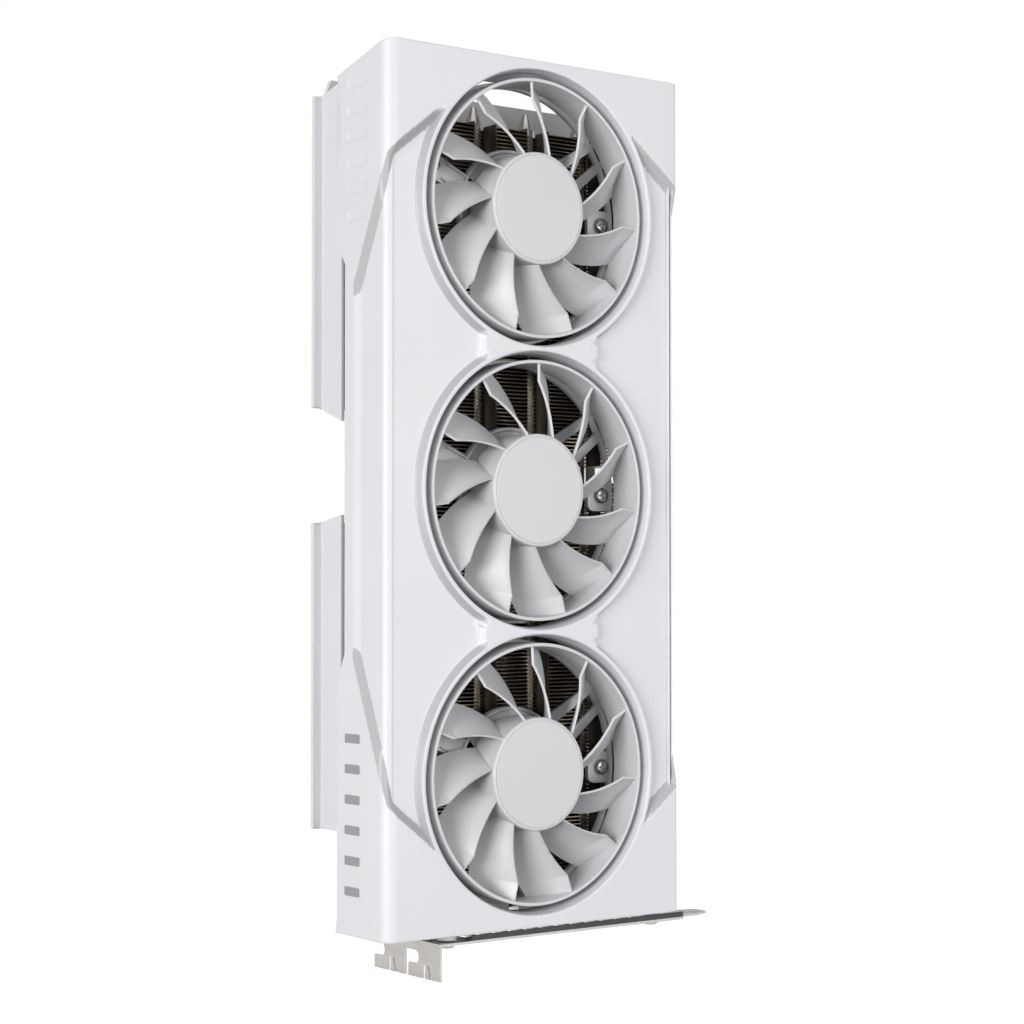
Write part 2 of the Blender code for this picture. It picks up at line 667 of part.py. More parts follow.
def build_fan_screw(name, card, spot):
    """A pan-head screw, its head seated on the ear and its shank in the fin stack."""
    seat = frame_front() - GAP
    tip = seat + SCREW_LENGTH
    profile = pan_head(seat, SCREW_HEAD_DEPTH, -1) + [(SCREW_SHANK, seat), (SCREW_SHANK, tip), (0, tip)]
    place(name, turned(profile, 12), screw_steel(), card, spot, smooth=True)


def socket_relief(name, card, material):
    """The room that a fin stack leaves round the power socket."""
    slack = 4 * GAP
    half = POWER_LENGTH / 2 + slack
    low = (STACK_LEFT - OVER, BOARD_FRONT - POWER_HEIGHT - slack, POWER_Z - half)
    high = (BOARD_LEFT + POWER_DEPTH + slack, WEB_BACK + OVER, POWER_Z + half)
    return place(f"{name}_socket_relief", block(low, high), material, card)


def comb_outline(span, deep_from):
    """A fin pack's outline in (y, z): a web with fins to the front and, beyond the board, to the back."""
    start, end = span
    count = round((end - start) / FIN_PITCH)
    pitch = (end - start) / count
    front_row, back_row = [(STACK_FRONT, start)], [(WEB_BACK, start)]
    if deep_from < end:
        back_row += [(WEB_BACK, deep_from), (STACK_BACK, deep_from)]
    for i in range(1, count):
        low = start + i * pitch - FIN_SLOT / 2
        high = low + FIN_SLOT
        front_row += [(STACK_FRONT, low), (WEB_FRONT, low), (WEB_FRONT, high), (STACK_FRONT, high)]
        if low > deep_from + FIN_SLOT / 2:
            back_row += [(STACK_BACK, low), (WEB_BACK, low), (WEB_BACK, high), (STACK_BACK, high)]
    last = STACK_BACK if deep_from < end else WEB_BACK
    return front_row + [(STACK_FRONT, end), (last, end)] + back_row[::-1]


def build_fin_stack(name, card, span):
    aluminium = finish("fin_aluminium", (0.30, 0.27, 0.24), 0.35, 1.0)
    outline = comb_outline(span, BOARD_END + BOARD_CLEARANCE)
    stack = place(name, prism(outline, "X", STACK_LEFT, STACK_RIGHT), aluminium, card)
    start, end = span
    if start < POWER_Z + POWER_LENGTH / 2 and POWER_Z - POWER_LENGTH / 2 < end:
        cut(stack, socket_relief(name, card, aluminium))
    for index, x in enumerate(PIPE_X, 1):
        bore = rod(PIPE_RADIUS + GAP, start - OVER, end + OVER, 16, "Z", (x, PIPE_Y, 0.0))
        cut(stack, place(f"{name}_pipe_bore_{index}", bore, aluminium, card))
    floor = frame_front() + SCREW_LENGTH
    for fan, (cx, cz) in enumerate(fan_centres(), 1):
        for index, (reach, angle) in enumerate(SCREW_SPOTS, 1):
            x, z = screw_spot(reach, angle)
            if start < cz + z < end:
                hole = rod(SCREW_HOLE, STACK_FRONT - OVER, floor, 10, centre=(cx + x, 0.0, cz + z))
                cut(stack, place(f"{name}_screw_hole_{fan}_{index}", hole, aluminium, card))


def square_block(half, front, back):
    """A block centred on the chip, square in X and Z."""
    return block((CHIP_X - half, front, CHIP_Z - half), (CHIP_X + half, back, CHIP_Z + half))


def build_heat_pipe(name, card, x):
    """A pipe along both stacks, with a closed conical tip beyond the far one."""
    top = FAR_STACK[1] + PIPE_PROUD
    points = [(FOOT_STACK[0] + PIPE_INSET, 1.0), (top - PIPE_CONE, 1.0), (top, 0.3)]
    curve = bpy.data.curves.new(name, "CURVE")
    curve.dimensions = "3D"
    curve.bevel_depth = PIPE_RADIUS
    curve.bevel_resolution = 3
    curve.use_fill_caps = True
    spline = curve.splines.new("POLY")
    spline.points.add(len(points) - 1)
    for point, (z, radius) in zip(spline.points, points):
        point.co = (x, PIPE_Y, z, 1.0)
        point.radius = radius
    curve.materials.append(finish("heat_pipe_nickel", (0.55, 0.48, 0.40), 0.3, 1.0))
    pipe = bpy.data.objects.new(name, curve)
    pipe.parent = card
    bpy.context.scene.collection.objects.link(pipe)


def build_cold_plate(card):
    """The block that carries heat from the chip to the pipes, with a contact boss at its middle."""
    front = WEB_BACK + GAP
    back = front + COLD_PLATE_THICK
    copper = finish("nickel_copper", (0.66, 0.6, 0.55), 0.25, 1.0)
    plate = place("cold_plate", square_block(COLD_PLATE_SIZE / 2, front, back), copper, card)
    die_front = BOARD_FRONT - 2 * GAP - PACKAGE_THICK - DIE_THICK
    boss = square_block(0.5 * DIE_SIZE + COLD_PLATE_BOSS_RIM, back - BITE, die_front - GAP)
    join(plate, place("cold_plate_boss", boss, copper, card))


def laminate():
    return finish("board_laminate", (0.01, 0.02, 0.015), 0.5)


def build_board(card):
    """The circuit board with its keyed edge connector."""
    key_low, key_high = EDGE_FINGER_KEY
    slope = EDGE_FINGER_CHAMFER
    outline = [
        (BOARD_LEFT, BOARD_FOOT), (BOARD_EDGE, BOARD_FOOT), (BOARD_EDGE, EDGE_FINGER_START),
        (EDGE_FINGER_TIP - slope, EDGE_FINGER_START), (EDGE_FINGER_TIP, EDGE_FINGER_START + slope),
        (EDGE_FINGER_TIP, key_low), (BOARD_EDGE, key_low),
        (BOARD_EDGE, key_high), (EDGE_FINGER_TIP, key_high),
        (EDGE_FINGER_TIP, EDGE_FINGER_END - slope), (EDGE_FINGER_TIP - slope, EDGE_FINGER_END),
        (BOARD_EDGE, EDGE_FINGER_END), (BOARD_EDGE, BOARD_END), (BOARD_LEFT, BOARD_END),
    ]
    back = BOARD_FRONT + BOARD_THICK
    board = place("circuit_board", prism(outline, "Y", BOARD_FRONT, back), laminate(), card)
    for index, (x, z) in enumerate(BACK_SCREW_SPOTS, 1):
        hole = rod(SCREW_HOLE, BOARD_FRONT - OVER, back + OVER, 12, centre=(x, 0.0, z))
        cut(board, place(f"board_hole_{index}", hole, laminate(), card))


def build_chip(card):
    """The processor: a package on the board and the bare die on it."""
    seat = BOARD_FRONT - GAP
    front = seat - PACKAGE_THICK
    place("gpu_package", square_block(PACKAGE_SIZE / 2, front, seat), laminate(), card)
    die = square_block(DIE_SIZE / 2, front - GAP - DIE_THICK, front - GAP)
    place("gpu_die", die, finish("silicon", (0.12, 0.12, 0.14), 0.15), card)


def build_memory(card):
    seat = BOARD_FRONT - GAP
    width, height = (size / 2 for size in MEMORY_SIZE)
    dx, dz = MEMORY_OFFSET
    spots = [(CHIP_X + sx * dx, CHIP_Z + sz * dz) for sx in (-1, 1) for sz in (-1, 1)]
    for index, (x, z) in enumerate(spots, 1):
        chip = block((x - width, seat - MEMORY_THICK, z - height), (x + width, seat, z + height))
        place(f"memory_chip_{index}", chip, dark_plastic(), card)


def build_chokes(card):
    """The power stage's coils, each a square moulded block with bevelled edges."""
    seat, half = BOARD_FRONT - GAP, CHOKE_SIZE / 2
    ferrite = finish("choke_ferrite", (0.1, 0.1, 0.1), 0.55)
    for index, z in enumerate(CHOKE_Z, 1):
        low = (CHOKE_X - half, seat - CHOKE_HEIGHT, z - half)
        choke = place(f"power_choke_{index}", block(low, (CHOKE_X + half, seat, z + half)), ferrite, card)
        bevel = choke.modifiers.new("edge", "BEVEL")
        bevel.width = CHOKE_BEVEL
        bevel.segments = 1


def build_power_socket(card):
    """The eight-way power socket on the board's left edge, its mouth towards -X."""
    left = BOARD_LEFT - GAP
    back = BOARD_FRONT - GAP
    front = back - POWER_HEIGHT
    low = (left, front, POWER_Z - POWER_LENGTH / 2)
    high = (left + POWER_DEPTH, back, POWER_Z + POWER_LENGTH / 2)
    black = dark_plastic()
    socket = place("power_socket", block(low, high), black, card)
    half, pin = POWER_CELL / 2, POWER_PIN / 2
    floor = left + POWER_CELL_DEPTH
    for row in range(2):
        for column in range(4):
            y = front + POWER_HEIGHT / 2 + (row - 0.5) * POWER_CELL_PITCH
            z = POWER_Z + (column - 1.5) * POWER_CELL_PITCH
            label = f"{row + 1}_{column + 1}"
            cell = block((left - OVER, y - half, z - half), (floor, y + half, z + half))
            cut(socket, place(f"power_cell_{label}", cell, black, card))
            contact = block((left + POWER_PIN_INSET, y - pin, z - pin), (floor + BITE, y + pin, z + pin))
            join(socket, place(f"power_pin_{label}", contact, black, card))


def wing_gap():
    """The gap between the two wings, as (y, z) points: it widens towards the rear."""
    rise = OVER / (BACK_FACE - WING_FRONT)
    points = []
    for (front, back), order in ((WING_GAP_FOOT, 1), (WING_GAP_FAR, -1)):
        climb = (back - front) * rise
        points += [(WING_FRONT - OVER, front - climb), (BACK_FACE + OVER, back + climb)][::order]
    return points


def build_backplate(card):
    """The rear cover, with a side wall and a lip in two wings either side of the power socket."""
    front, top = BACK_FACE - BACK_THICK, SHROUD_LENGTH
    sheet = block((WING_INSET, front, 0.0), (SHROUD_WIDTH - BACK_RIGHT_INSET, BACK_FACE, top))
    plate = place("backplate", sheet, white(), card)
    wall = block((WING_INSET, WING_FRONT, WING_FOOT), (WING_INSET + WING_WALL, front + BITE, top))
    lip = block((0.0, front, WING_FOOT), (WING_INSET + BITE, BACK_FACE, top))
    join(plate, place("wing_wall", wall, white(), card))
    join(plate, place("wing_lip", lip, white(), card))
    foot = block((-OVER, front - OVER, -OVER), (COVER_STEP, BACK_FACE + OVER, WING_FOOT))
    cut(plate, place("cover_step_foot", foot, white(), card))
    gap = prism(wing_gap(), "X", -OVER, COVER_STEP)
    cut(plate, place("cover_step_gap", gap, white(), card))
    cut(plate, place("backplate_end", across_shroud(end_slant()), white(), card))
    left, right = STACK_LEFT + VENT_INSET, STACK_RIGHT - VENT_INSET
    for index in range(VENT_COUNT):
        z = VENT_START + index * VENT_PITCH
        vent = block((left, front - OVER, z), (right, BACK_FACE + OVER, z + VENT_WIDTH))
        cut(plate, place(f"vent_{index + 1}", vent, white(), card))
    for index, (x, z) in enumerate(BACK_SCREW_SPOTS, 1):
        add_backplate_fixing(plate, card, index, (x, 0.0, z))


def add_backplate_fixing(plate, card, index, spot):
    """A standoff on the rear cover with a stepped hole, and the screw sunk in it through the board."""
    x, _, z = spot
    boss_front = BOARD_FRONT + BOARD_THICK + GAP
    boss = rod(STANDOFF_RADIUS, boss_front, BACK_FACE - BACK_THICK + BITE, 16, centre=(x, 0.0, z))
    join(plate, place(f"standoff_{index}", boss, white(), card))
    floor = BACK_FACE - COUNTERBORE_DEPTH
    sink = rod(SCREW_HEAD + GAP, floor, BACK_FACE + OVER, 16, centre=(x, 0.0, z))
    cut(plate, place(f"counterbore_{index}", sink, white(), card))
    hole = rod(SCREW_HOLE, BOARD_FRONT, BACK_FACE + OVER, 12, centre=(x, 0.0, z))
    cut(plate, place(f"backplate_hole_{index}", hole, white(), card))
    seat = floor + GAP
    profile = [(0, BOARD_FRONT), (SCREW_SHANK, BOARD_FRONT), (SCREW_SHANK, seat)]
    profile += pan_head(seat, BACK_SCREW_HEAD_DEPTH, 1)[::-1]
    place(f"backplate_screw_{index}", turned(profile, 12), screw_steel(), card, spot, smooth=True)


def slot_fronts():
    """Where each slot's share of the bracket starts, from the front."""
    return [BRACKET_FRONT, BRACKET_FRONT + SLOT_PITCH]


def bracket_plate_outline():
    """The bracket's main sheet as (x, y) points, with a tongue for each slot."""
    points = [(FLANGE_X, BRACKET_FRONT)]
    neck = BRACKET_SHOULDER + TONGUE_TAPER
    for front in slot_fronts():
        middle = front + SLOT_SHEET_WIDTH / 2
        tongue, tip = TONGUE_WIDTH / 2, TIP_WIDTH / 2
        points += [
            (BRACKET_SHOULDER, front), (neck, middle - tongue), (BRACKET_TONGUE, middle - tongue),
            (BRACKET_TIP, middle - tip), (BRACKET_TIP, middle + tip), (BRACKET_TONGUE, middle + tongue),
            (neck, middle + tongue), (BRACKET_SHOULDER, front + SLOT_SHEET_WIDTH),
        ]
    return points + [(FLANGE_X, bracket_back())]


def bracket_back():
    return BRACKET_FRONT + SLOT_PITCH + SLOT_SHEET_WIDTH


def build_bracket(card):
    """The folded slot bracket: its sheet outside the card's foot, its flange and its stiffening lip."""
    outside, inside = BRACKET_OUTSIDE, BRACKET_OUTSIDE + SHEET
    metal = nickel()
    bracket = place("bracket", prism(bracket_plate_outline(), "Z", outside, inside), metal, card)
    overlap = inside - SHEET_OVERLAP
    flange = block((FLANGE_X, BRACKET_FRONT, outside - FLANGE_LENGTH),
                   (FLANGE_X + SHEET, bracket_back(), overlap))
    join(bracket, place("flange", flange, metal, card))
    lip = block((LIP_START, BRACKET_FRONT, overlap),
                (BRACKET_SHOULDER, BRACKET_FRONT + SHEET, outside + LIP_HEIGHT))
    join(bracket, place("bracket_lip", lip, metal, card))
    cut_flange(bracket, card)
    cut_bracket_sheet(bracket, card)


def notch_outline(edge, top):
    """A slot for a case screw, open at the flange's rear edge and round at its end, as (y, z) points."""
    radius = NOTCH_HEIGHT / 2
    turn = edge - NOTCH_DEPTH + radius
    points = [(edge + OVER, top), (edge + OVER, top - NOTCH_HEIGHT), (turn, top - NOTCH_HEIGHT)]
    for angle in (math.pi * i / 6 for i in range(1, 6)):
        points.append((turn - radius * math.sin(angle), top - radius - radius * math.cos(angle)))
    return points + [(turn, top)]


def cut_flange(bracket, card):
    """Screw notches, the narrow slits either side of each tab, and the split between the two slots."""
    metal = nickel()
    foot = BRACKET_OUTSIDE - FLANGE_LENGTH
    start, end = FLANGE_X - OVER, FLANGE_X + SHEET + OVER
    for index, front in enumerate(slot_fronts(), 1):
        edge = front + SLOT_SHEET_WIDTH
        notch = prism(notch_outline(edge, BRACKET_OUTSIDE - NOTCH_DROP), "X", start, end)
        cut(bracket, place(f"flange_notch_{index}", notch, metal, card))
        for side, foot_shift, top_shift, width in FLANGE_SLITS:
            low, high = edge - foot_shift, edge - top_shift
            slit = [(low - width / 2, foot - OVER), (low + width / 2, foot - OVER),
                    (high + width / 2, foot + SLIT_HEIGHT), (high - width / 2, foot + SLIT_HEIGHT)]
            cut(bracket, place(f"flange_slit_{index}_{side}", prism(slit, "X", start, end), metal, card))
    split = block((start, BRACKET_FRONT + SLOT_SHEET_WIDTH, foot - OVER),
                  (end, BRACKET_FRONT + SLOT_PITCH, BRACKET_OUTSIDE - NOTCH_DROP))
    cut(bracket, place("flange_split", split, metal, card))


def port_half_length(index):
    return (HDMI_LENGTH if index == HDMI_PLACE else PORT_LENGTH) / 2


def cut_bracket_sheet(bracket, card):
    """The windows for the display sockets, the air slots beside them and the screw holes."""
    metal = nickel()
    low, high = BRACKET_OUTSIDE - OVER, BRACKET_OUTSIDE + SHEET + OVER
    reach = PORT_HEIGHT / 2 + GAP
    for index in range(PORT_COUNT):
        length = port_half_length(index) + GAP
        x = PORT_START + index * PORT_PITCH
        window = block((x - length, port_y() - reach, low), (x + length, port_y() + reach, high))
        cut(bracket, place(f"port_window_{index + 1}", window, metal, card))
    front, back = (BRACKET_FRONT + inset for inset in AIR_SLOT_SPAN)
    for index in range(AIR_SLOTS):
        x = AIR_SLOT_START + index * AIR_SLOT_PITCH
        slot = block((x, front, low), (x + AIR_SLOT_WIDTH, back, high))
        cut(bracket, place(f"air_slot_{index + 1}", slot, metal, card))
    for index, x in enumerate(BRACKET_SCREW_X, 1):
        hole = rod(SCREW_HOLE, low, high, 12, "Z", (x, BRACKET_SCREW_Y, 0.0))
        cut(bracket, place(f"bracket_hole_{index}", hole, metal, card))


def port_y():
    """The middle of the display sockets, which stand on the board's front."""
    return BOARD_FRONT - GAP - PORT_HEIGHT / 2


def build_ports(card):
    """Display sockets through the bracket, each a metal shell with a contact tongue in its mouth."""
    y = port_y()
    mouth = BRACKET_OUTSIDE - PORT_PROUD
    floor = mouth + PORT_SOCKET
    tall = PORT_HEIGHT / 2
    for index in range(PORT_COUNT):
        name = "hdmi_port" if index == HDMI_PLACE else f"display_port_{index + 1}"
        half = port_half_length(index)
        x = PORT_START + index * PORT_PITCH
        shell = block((x - half, y - tall, mouth), (x + half, y + tall, mouth + PORT_DEPTH))
        port = place(name, shell, nickel(), card)
        wide, high = half - PORT_WALL, tall - PORT_WALL
        hollow = block((x - wide, y - high, mouth - OVER), (x + wide, y + high, floor))
        cut(port, place(f"{name}_hollow", hollow, nickel(), card))
        reach, thick = PORT_TONGUE_SHARE * wide, PORT_TONGUE / 2
        low = (x - reach, y - thick, mouth + PORT_TONGUE_INSET)
        tongue = block(low, (x + reach, y + thick, floor + BITE))
        join(port, place(f"{name}_tongue", tongue, dark_plastic(), card))


def build_bracket_screws(card):
    """Screws that hold the bracket: heads outside, shanks in the bosses on the shroud's foot wall."""
    seat = BRACKET_OUTSIDE - GAP
    tip = seat + BRACKET_SCREW_LENGTH
    profile = pan_head(seat, BRACKET_SCREW_HEAD_DEPTH, -1)
    profile += [(SCREW_SHANK, seat), (SCREW_SHANK, tip), (0, tip)]
    for index, x in enumerate(BRACKET_SCREW_X, 1):
        screw = turned(profile, 12, "Z", (x, BRACKET_SCREW_Y, 0.0))
        place(f"bracket_screw_{index}", screw, screw_steel(), card, smooth=True)


def build_retention_plate(card):
    """The cross-shaped spring plate behind the chip that clamps the cold plate through the board."""
    front = BOARD_FRONT + BOARD_THICK + GAP
    back = front + RETENTION_THICK
    reach, half = RETENTION_REACH, RETENTION_WIDTH / 2
    steel = finish("spring_steel", (0.4, 0.4, 0.42), 0.35, 1.0)
    arms = []
    for name, angle in (("retention_plate", 45.0), ("retention_arm", -45.0)):
        arm = block((-reach, front, -half), (reach, back, half))
        bmesh.ops.transform(arm, matrix=Matrix.Rotation(math.radians(angle), 4, "Y"), verts=arm.verts)
        arms.append(place(name, arm, steel, card, (CHIP_X, 0.0, CHIP_Z)))
    join(*arms)


def main():
    for thing in list(bpy.data.objects):
        bpy.data.objects.remove(thing, do_unlink=True)
    card = bpy.data.objects.new("card_frame", None)
    card.location = tuple(-value for value in SEAT)
    bpy.context.scene.collection.objects.link(card)
    build_shroud(card)
    build_backplate(card)
    build_board(card)
    build_chip(card)
    build_memory(card)
    build_chokes(card)
    build_power_socket(card)
    build_bracket(card)
    build_ports(card)
    build_bracket_screws(card)
    build_retention_plate(card)
    build_cold_plate(card)
    build_fin_stack("fin_stack_foot", card, FOOT_STACK)
    build_fin_stack("fin_stack_far", card, FAR_STACK)
    for index, x in enumerate(PIPE_X, 1):
        build_heat_pipe(f"heat_pipe_{index}", card, x)
    for index, (x, z) in enumerate(fan_centres(), 1):
        label, spot = f"fan_{index}", (x, 0.0, z)
        build_rotor(label, card, spot, FAN_PHASES[index - 1])
        build_motor(label, card, spot)
        build_fan_frame(label, card, spot)


main()
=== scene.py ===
"""Looks for the triple-fan graphics card. Lengths in this script are millimetres in the card's own frame:
x across the card from the power-socket side, y from the fan face to the rear cover, z from the bracket end.
"""

import math

import bmesh
import bpy
import numpy as np
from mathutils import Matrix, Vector
from mathutils.geometry import delaunay_2d_cdt

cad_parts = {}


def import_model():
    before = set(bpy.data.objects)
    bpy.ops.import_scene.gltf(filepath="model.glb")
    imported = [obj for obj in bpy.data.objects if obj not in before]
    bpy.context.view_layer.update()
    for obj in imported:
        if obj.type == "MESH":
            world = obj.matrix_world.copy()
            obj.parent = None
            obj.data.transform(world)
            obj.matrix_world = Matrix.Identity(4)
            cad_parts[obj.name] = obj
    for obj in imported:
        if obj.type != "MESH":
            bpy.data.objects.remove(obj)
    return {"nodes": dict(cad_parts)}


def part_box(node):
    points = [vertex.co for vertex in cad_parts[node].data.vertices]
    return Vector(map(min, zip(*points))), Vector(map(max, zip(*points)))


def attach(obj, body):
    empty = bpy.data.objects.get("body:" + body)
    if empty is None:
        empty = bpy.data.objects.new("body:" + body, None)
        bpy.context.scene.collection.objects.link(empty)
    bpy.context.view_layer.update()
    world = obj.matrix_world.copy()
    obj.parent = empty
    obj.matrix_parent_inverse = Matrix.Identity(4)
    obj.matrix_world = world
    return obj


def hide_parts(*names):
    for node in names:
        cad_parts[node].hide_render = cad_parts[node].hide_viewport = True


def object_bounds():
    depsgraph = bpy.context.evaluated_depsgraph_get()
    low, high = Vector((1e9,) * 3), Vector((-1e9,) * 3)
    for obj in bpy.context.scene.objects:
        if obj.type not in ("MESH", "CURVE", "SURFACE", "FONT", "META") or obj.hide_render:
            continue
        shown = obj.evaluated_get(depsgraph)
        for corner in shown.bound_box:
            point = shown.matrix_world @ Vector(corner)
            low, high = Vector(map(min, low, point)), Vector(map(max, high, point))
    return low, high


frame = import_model()
cad_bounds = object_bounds()

MM = 0.001
SHROUD_LOW, SHROUD_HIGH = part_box("shroud")
BACK_LOW, BACK_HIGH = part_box("backplate")
ORIGIN = Vector((SHROUD_LOW.x, SHROUD_LOW.y, BACK_LOW.z))
WIDTH = (SHROUD_HIGH.x - ORIGIN.x) / MM
LENGTH = (SHROUD_HIGH.z - ORIGIN.z) / MM
DEPTH = (BACK_HIGH.y - ORIGIN.y) / MM


def design_box(node):
    """A CAD node's lowest and highest corners in the card's frame, in millimetres."""
    low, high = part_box(node)
    return (low - ORIGIN) / MM, (high - ORIGIN) / MM


def fan_centre(index):
    low, high = design_box(f"fan_{index}_magnet")
    return (low.x + high.x) / 2, (low.z + high.z) / 2


FANS = [fan_centre(index) for index in (1, 2, 3)]

# ---------------------------------------------------------------- materials


class Nodes:
    """A small helper that adds and links shader nodes."""

    def __init__(self, name):
        self.material = bpy.data.materials.new(name)
        self.material.use_nodes = True
        self.tree = self.material.node_tree
        self.shader = self.tree.nodes["Principled BSDF"]
        self.coords = self.tree.nodes.new("ShaderNodeTexCoord").outputs["Object"]

    def add(self, kind, **settings):
        node = self.tree.nodes.new(kind)
        for key, value in settings.items():
            setattr(node, key, value)
        return node

    def link(self, source, target):
        self.tree.links.new(source, target)

    def stretched(self, scale):
        mapping = self.add("ShaderNodeMapping")
        mapping.inputs["Scale"].default_value = scale
        self.link(self.coords, mapping.inputs["Vector"])
        return mapping.outputs["Vector"]

    def noise(self, scale, detail=2.0, roughness=0.5, vector=None):
        node = self.add("ShaderNodeTexNoise")
        node.inputs["Scale"].default_value = scale
        node.inputs["Detail"].default_value = detail
        node.inputs["Roughness"].default_value = roughness
        self.link(vector or self.coords, node.inputs["Vector"])
        return node.outputs["Fac"]

    def ramp(self, value, low, high, start=0.3, end=0.7):
        """A number from low to high as value goes from start to end."""
        node = self.add("ShaderNodeMapRange")
        for key, number in (("From Min", start), ("From Max", end), ("To Min", low), ("To Max", high)):
            node.inputs[key].default_value = number
        self.link(value, node.inputs["Value"])
        return node.outputs["Result"]

    def blend(self, factor, first, second):
        node = self.add("ShaderNodeMix", data_type="RGBA")
        self.link(factor, node.inputs["Factor"])
        node.inputs["A"].default_value = (*first, 1.0)
        node.inputs["B"].default_value = (*second, 1.0)
        return node.outputs["Result"]

    def bump(self, height, strength, distance):
        node = self.add("ShaderNodeBump")
        node.inputs["Strength"].default_value = strength
        node.inputs["Distance"].default_value = distance
        self.link(height, node.inputs["Height"])
        self.link(node.outputs["Normal"], self.shader.inputs["Normal"])


def moulded(name, colour, rough, grain=2600.0, depth=0.16, spread=0.05, tone=0.03, coat=0.0):
    """Moulded or painted surface: a fine pebble grain, slow changes of tone and of gloss."""
    n = Nodes(name)
    slow = n.noise(35.0, 3.0)
    dark = tuple(c * (1.0 - tone) for c in colour)
    n.link(n.blend(n.ramp(slow, 0.0, 1.0), dark, colour), n.shader.inputs["Base Color"])
    patch = n.noise(420.0, 4.0, 0.6)
    n.link(n.ramp(patch, rough - spread, rough + spread), n.shader.inputs["Roughness"])
    n.bump(n.noise(grain, 2.0, 0.55), depth, 0.00004)
    if coat:
        n.shader.inputs["Coat Weight"].default_value = coat
        n.shader.inputs["Coat Roughness"].default_value = 0.25
    return n.material


def metal(name, colour, rough, streak=(60.0, 60.0, 2400.0), depth=0.1, tone=0.12, spread=0.08):
    """Rolled or drawn metal: fine streaks along one direction that vary its tone, gloss and relief."""
    n = Nodes(name)
    lines = n.noise(1.0, 3.0, 0.6, n.stretched(streak))
    dark = tuple(c * (1.0 - tone) for c in colour)
    n.link(n.blend(n.ramp(lines, 0.0, 1.0), dark, colour), n.shader.inputs["Base Color"])
    n.shader.inputs["Metallic"].default_value = 1.0
    smudge = n.noise(160.0, 4.0, 0.6)
    n.link(n.ramp(smudge, rough - spread, rough + spread), n.shader.inputs["Roughness"])
    n.bump(lines, depth, 0.00003)
    return n.material


WHITE = moulded("white_moulding", (0.66, 0.66, 0.685), 0.42)
ROTOR_WHITE = moulded("rotor_moulding", (0.57, 0.57, 0.587), 0.40, grain=2000.0, depth=0.06)
# A greyer copy of the white moulding for the caps' sloping borders and the rings' flares: painted shade.
SLOPE_SHADE_GREY = moulded("slope_painted_shade", (0.42, 0.42, 0.437), 0.42)
PAINT = moulded("cover_powder_coat", (0.65, 0.65, 0.675), 0.5, grain=1500.0, depth=0.3)
FRAME_GREY = moulded("frame_moulding", (0.55, 0.55, 0.57), 0.45, tone=0.08)
PRINT_GREY = moulded("side_bar_print", (0.27, 0.27, 0.285), 0.4, tone=0.06, depth=0.08)
NICKEL = metal("bracket_nickel_plate", (0.47, 0.455, 0.44), 0.30, streak=(500.0, 12.0, 500.0))
# Near-black nickel for the bracket's lip: painted shade and a painted dark reflection on bright nickel.
LIP_SHADE_NICKEL = metal("bracket_lip_painted_shade", (0.035, 0.034, 0.034), 0.42, streak=(12.0, 600.0, 600.0))
STEEL = metal("screw_plate", (0.42, 0.41, 0.39), 0.3, streak=(900.0, 900.0, 900.0), tone=0.25)
SHELL = metal("port_shell_plate", (0.62, 0.62, 0.61), 0.3, streak=(400.0, 400.0, 40.0))
FIN = metal("fin_sheet", (0.40, 0.33, 0.255), 0.42, streak=(30.0, 900.0, 900.0), tone=0.45, spread=0.12)
FIN_TAB = metal("fin_tab", (0.60, 0.56, 0.49), 0.35, streak=(900.0, 900.0, 300.0), tone=0.3)
FIN_STRIP = metal("fin_strip", (0.17, 0.155, 0.13), 0.4, streak=(300.0, 300.0, 20.0), tone=0.35)
PIPE = metal("pipe_nickel", (0.62, 0.58, 0.54), 0.22, streak=(500.0, 500.0, 20.0), tone=0.2)
COPPER = metal("winding_enamel", (0.62, 0.27, 0.12), 0.35, streak=(700.0, 700.0, 3000.0), tone=0.4)
BRONZE = metal("sintered_bearing", (0.50, 0.34, 0.18), 0.5, streak=(2500.0, 2500.0, 2500.0), tone=0.3)
BLACK = moulded("black_nylon", (0.022, 0.022, 0.024), 0.5, tone=0.3)
MOULD = moulded("chip_mould", (0.03, 0.03, 0.032), 0.6, grain=3500.0, depth=0.3, tone=0.2)
FERRITE = moulded("pressed_ferrite", (0.07, 0.068, 0.065), 0.62, grain=3000.0, depth=0.4, tone=0.25)
DIE = moulded("polished_die", (0.10, 0.10, 0.12), 0.12, depth=0.02, tone=0.3, spread=0.03)


def board_mask():
    """Solder mask: a near-black coat with the weave and the copper's fine relief under it."""
    n = Nodes("solder_mask")
    weave = n.add("ShaderNodeTexBrick")
    weave.inputs["Scale"].default_value = 420.0
    weave.inputs["Mortar Size"].default_value = 0.06
    n.link(n.coords, weave.inputs["Vector"])
    tone = n.noise(240.0, 5.0, 0.7)
    n.link(n.blend(n.ramp(tone, 0.0, 1.0), (0.006, 0.010, 0.008), (0.018, 0.026, 0.022)),
           n.shader.inputs["Base Color"])
    n.link(n.ramp(tone, 0.28, 0.42), n.shader.inputs["Roughness"])
    n.bump(weave.outputs["Fac"], 0.25, 0.00003)
    return n.material


BOARD = board_mask()

# ---------------------------------------------------------------- mesh helpers


def world(points):
    return (np.asarray(points, float) * MM + np.array(ORIGIN)).tolist()


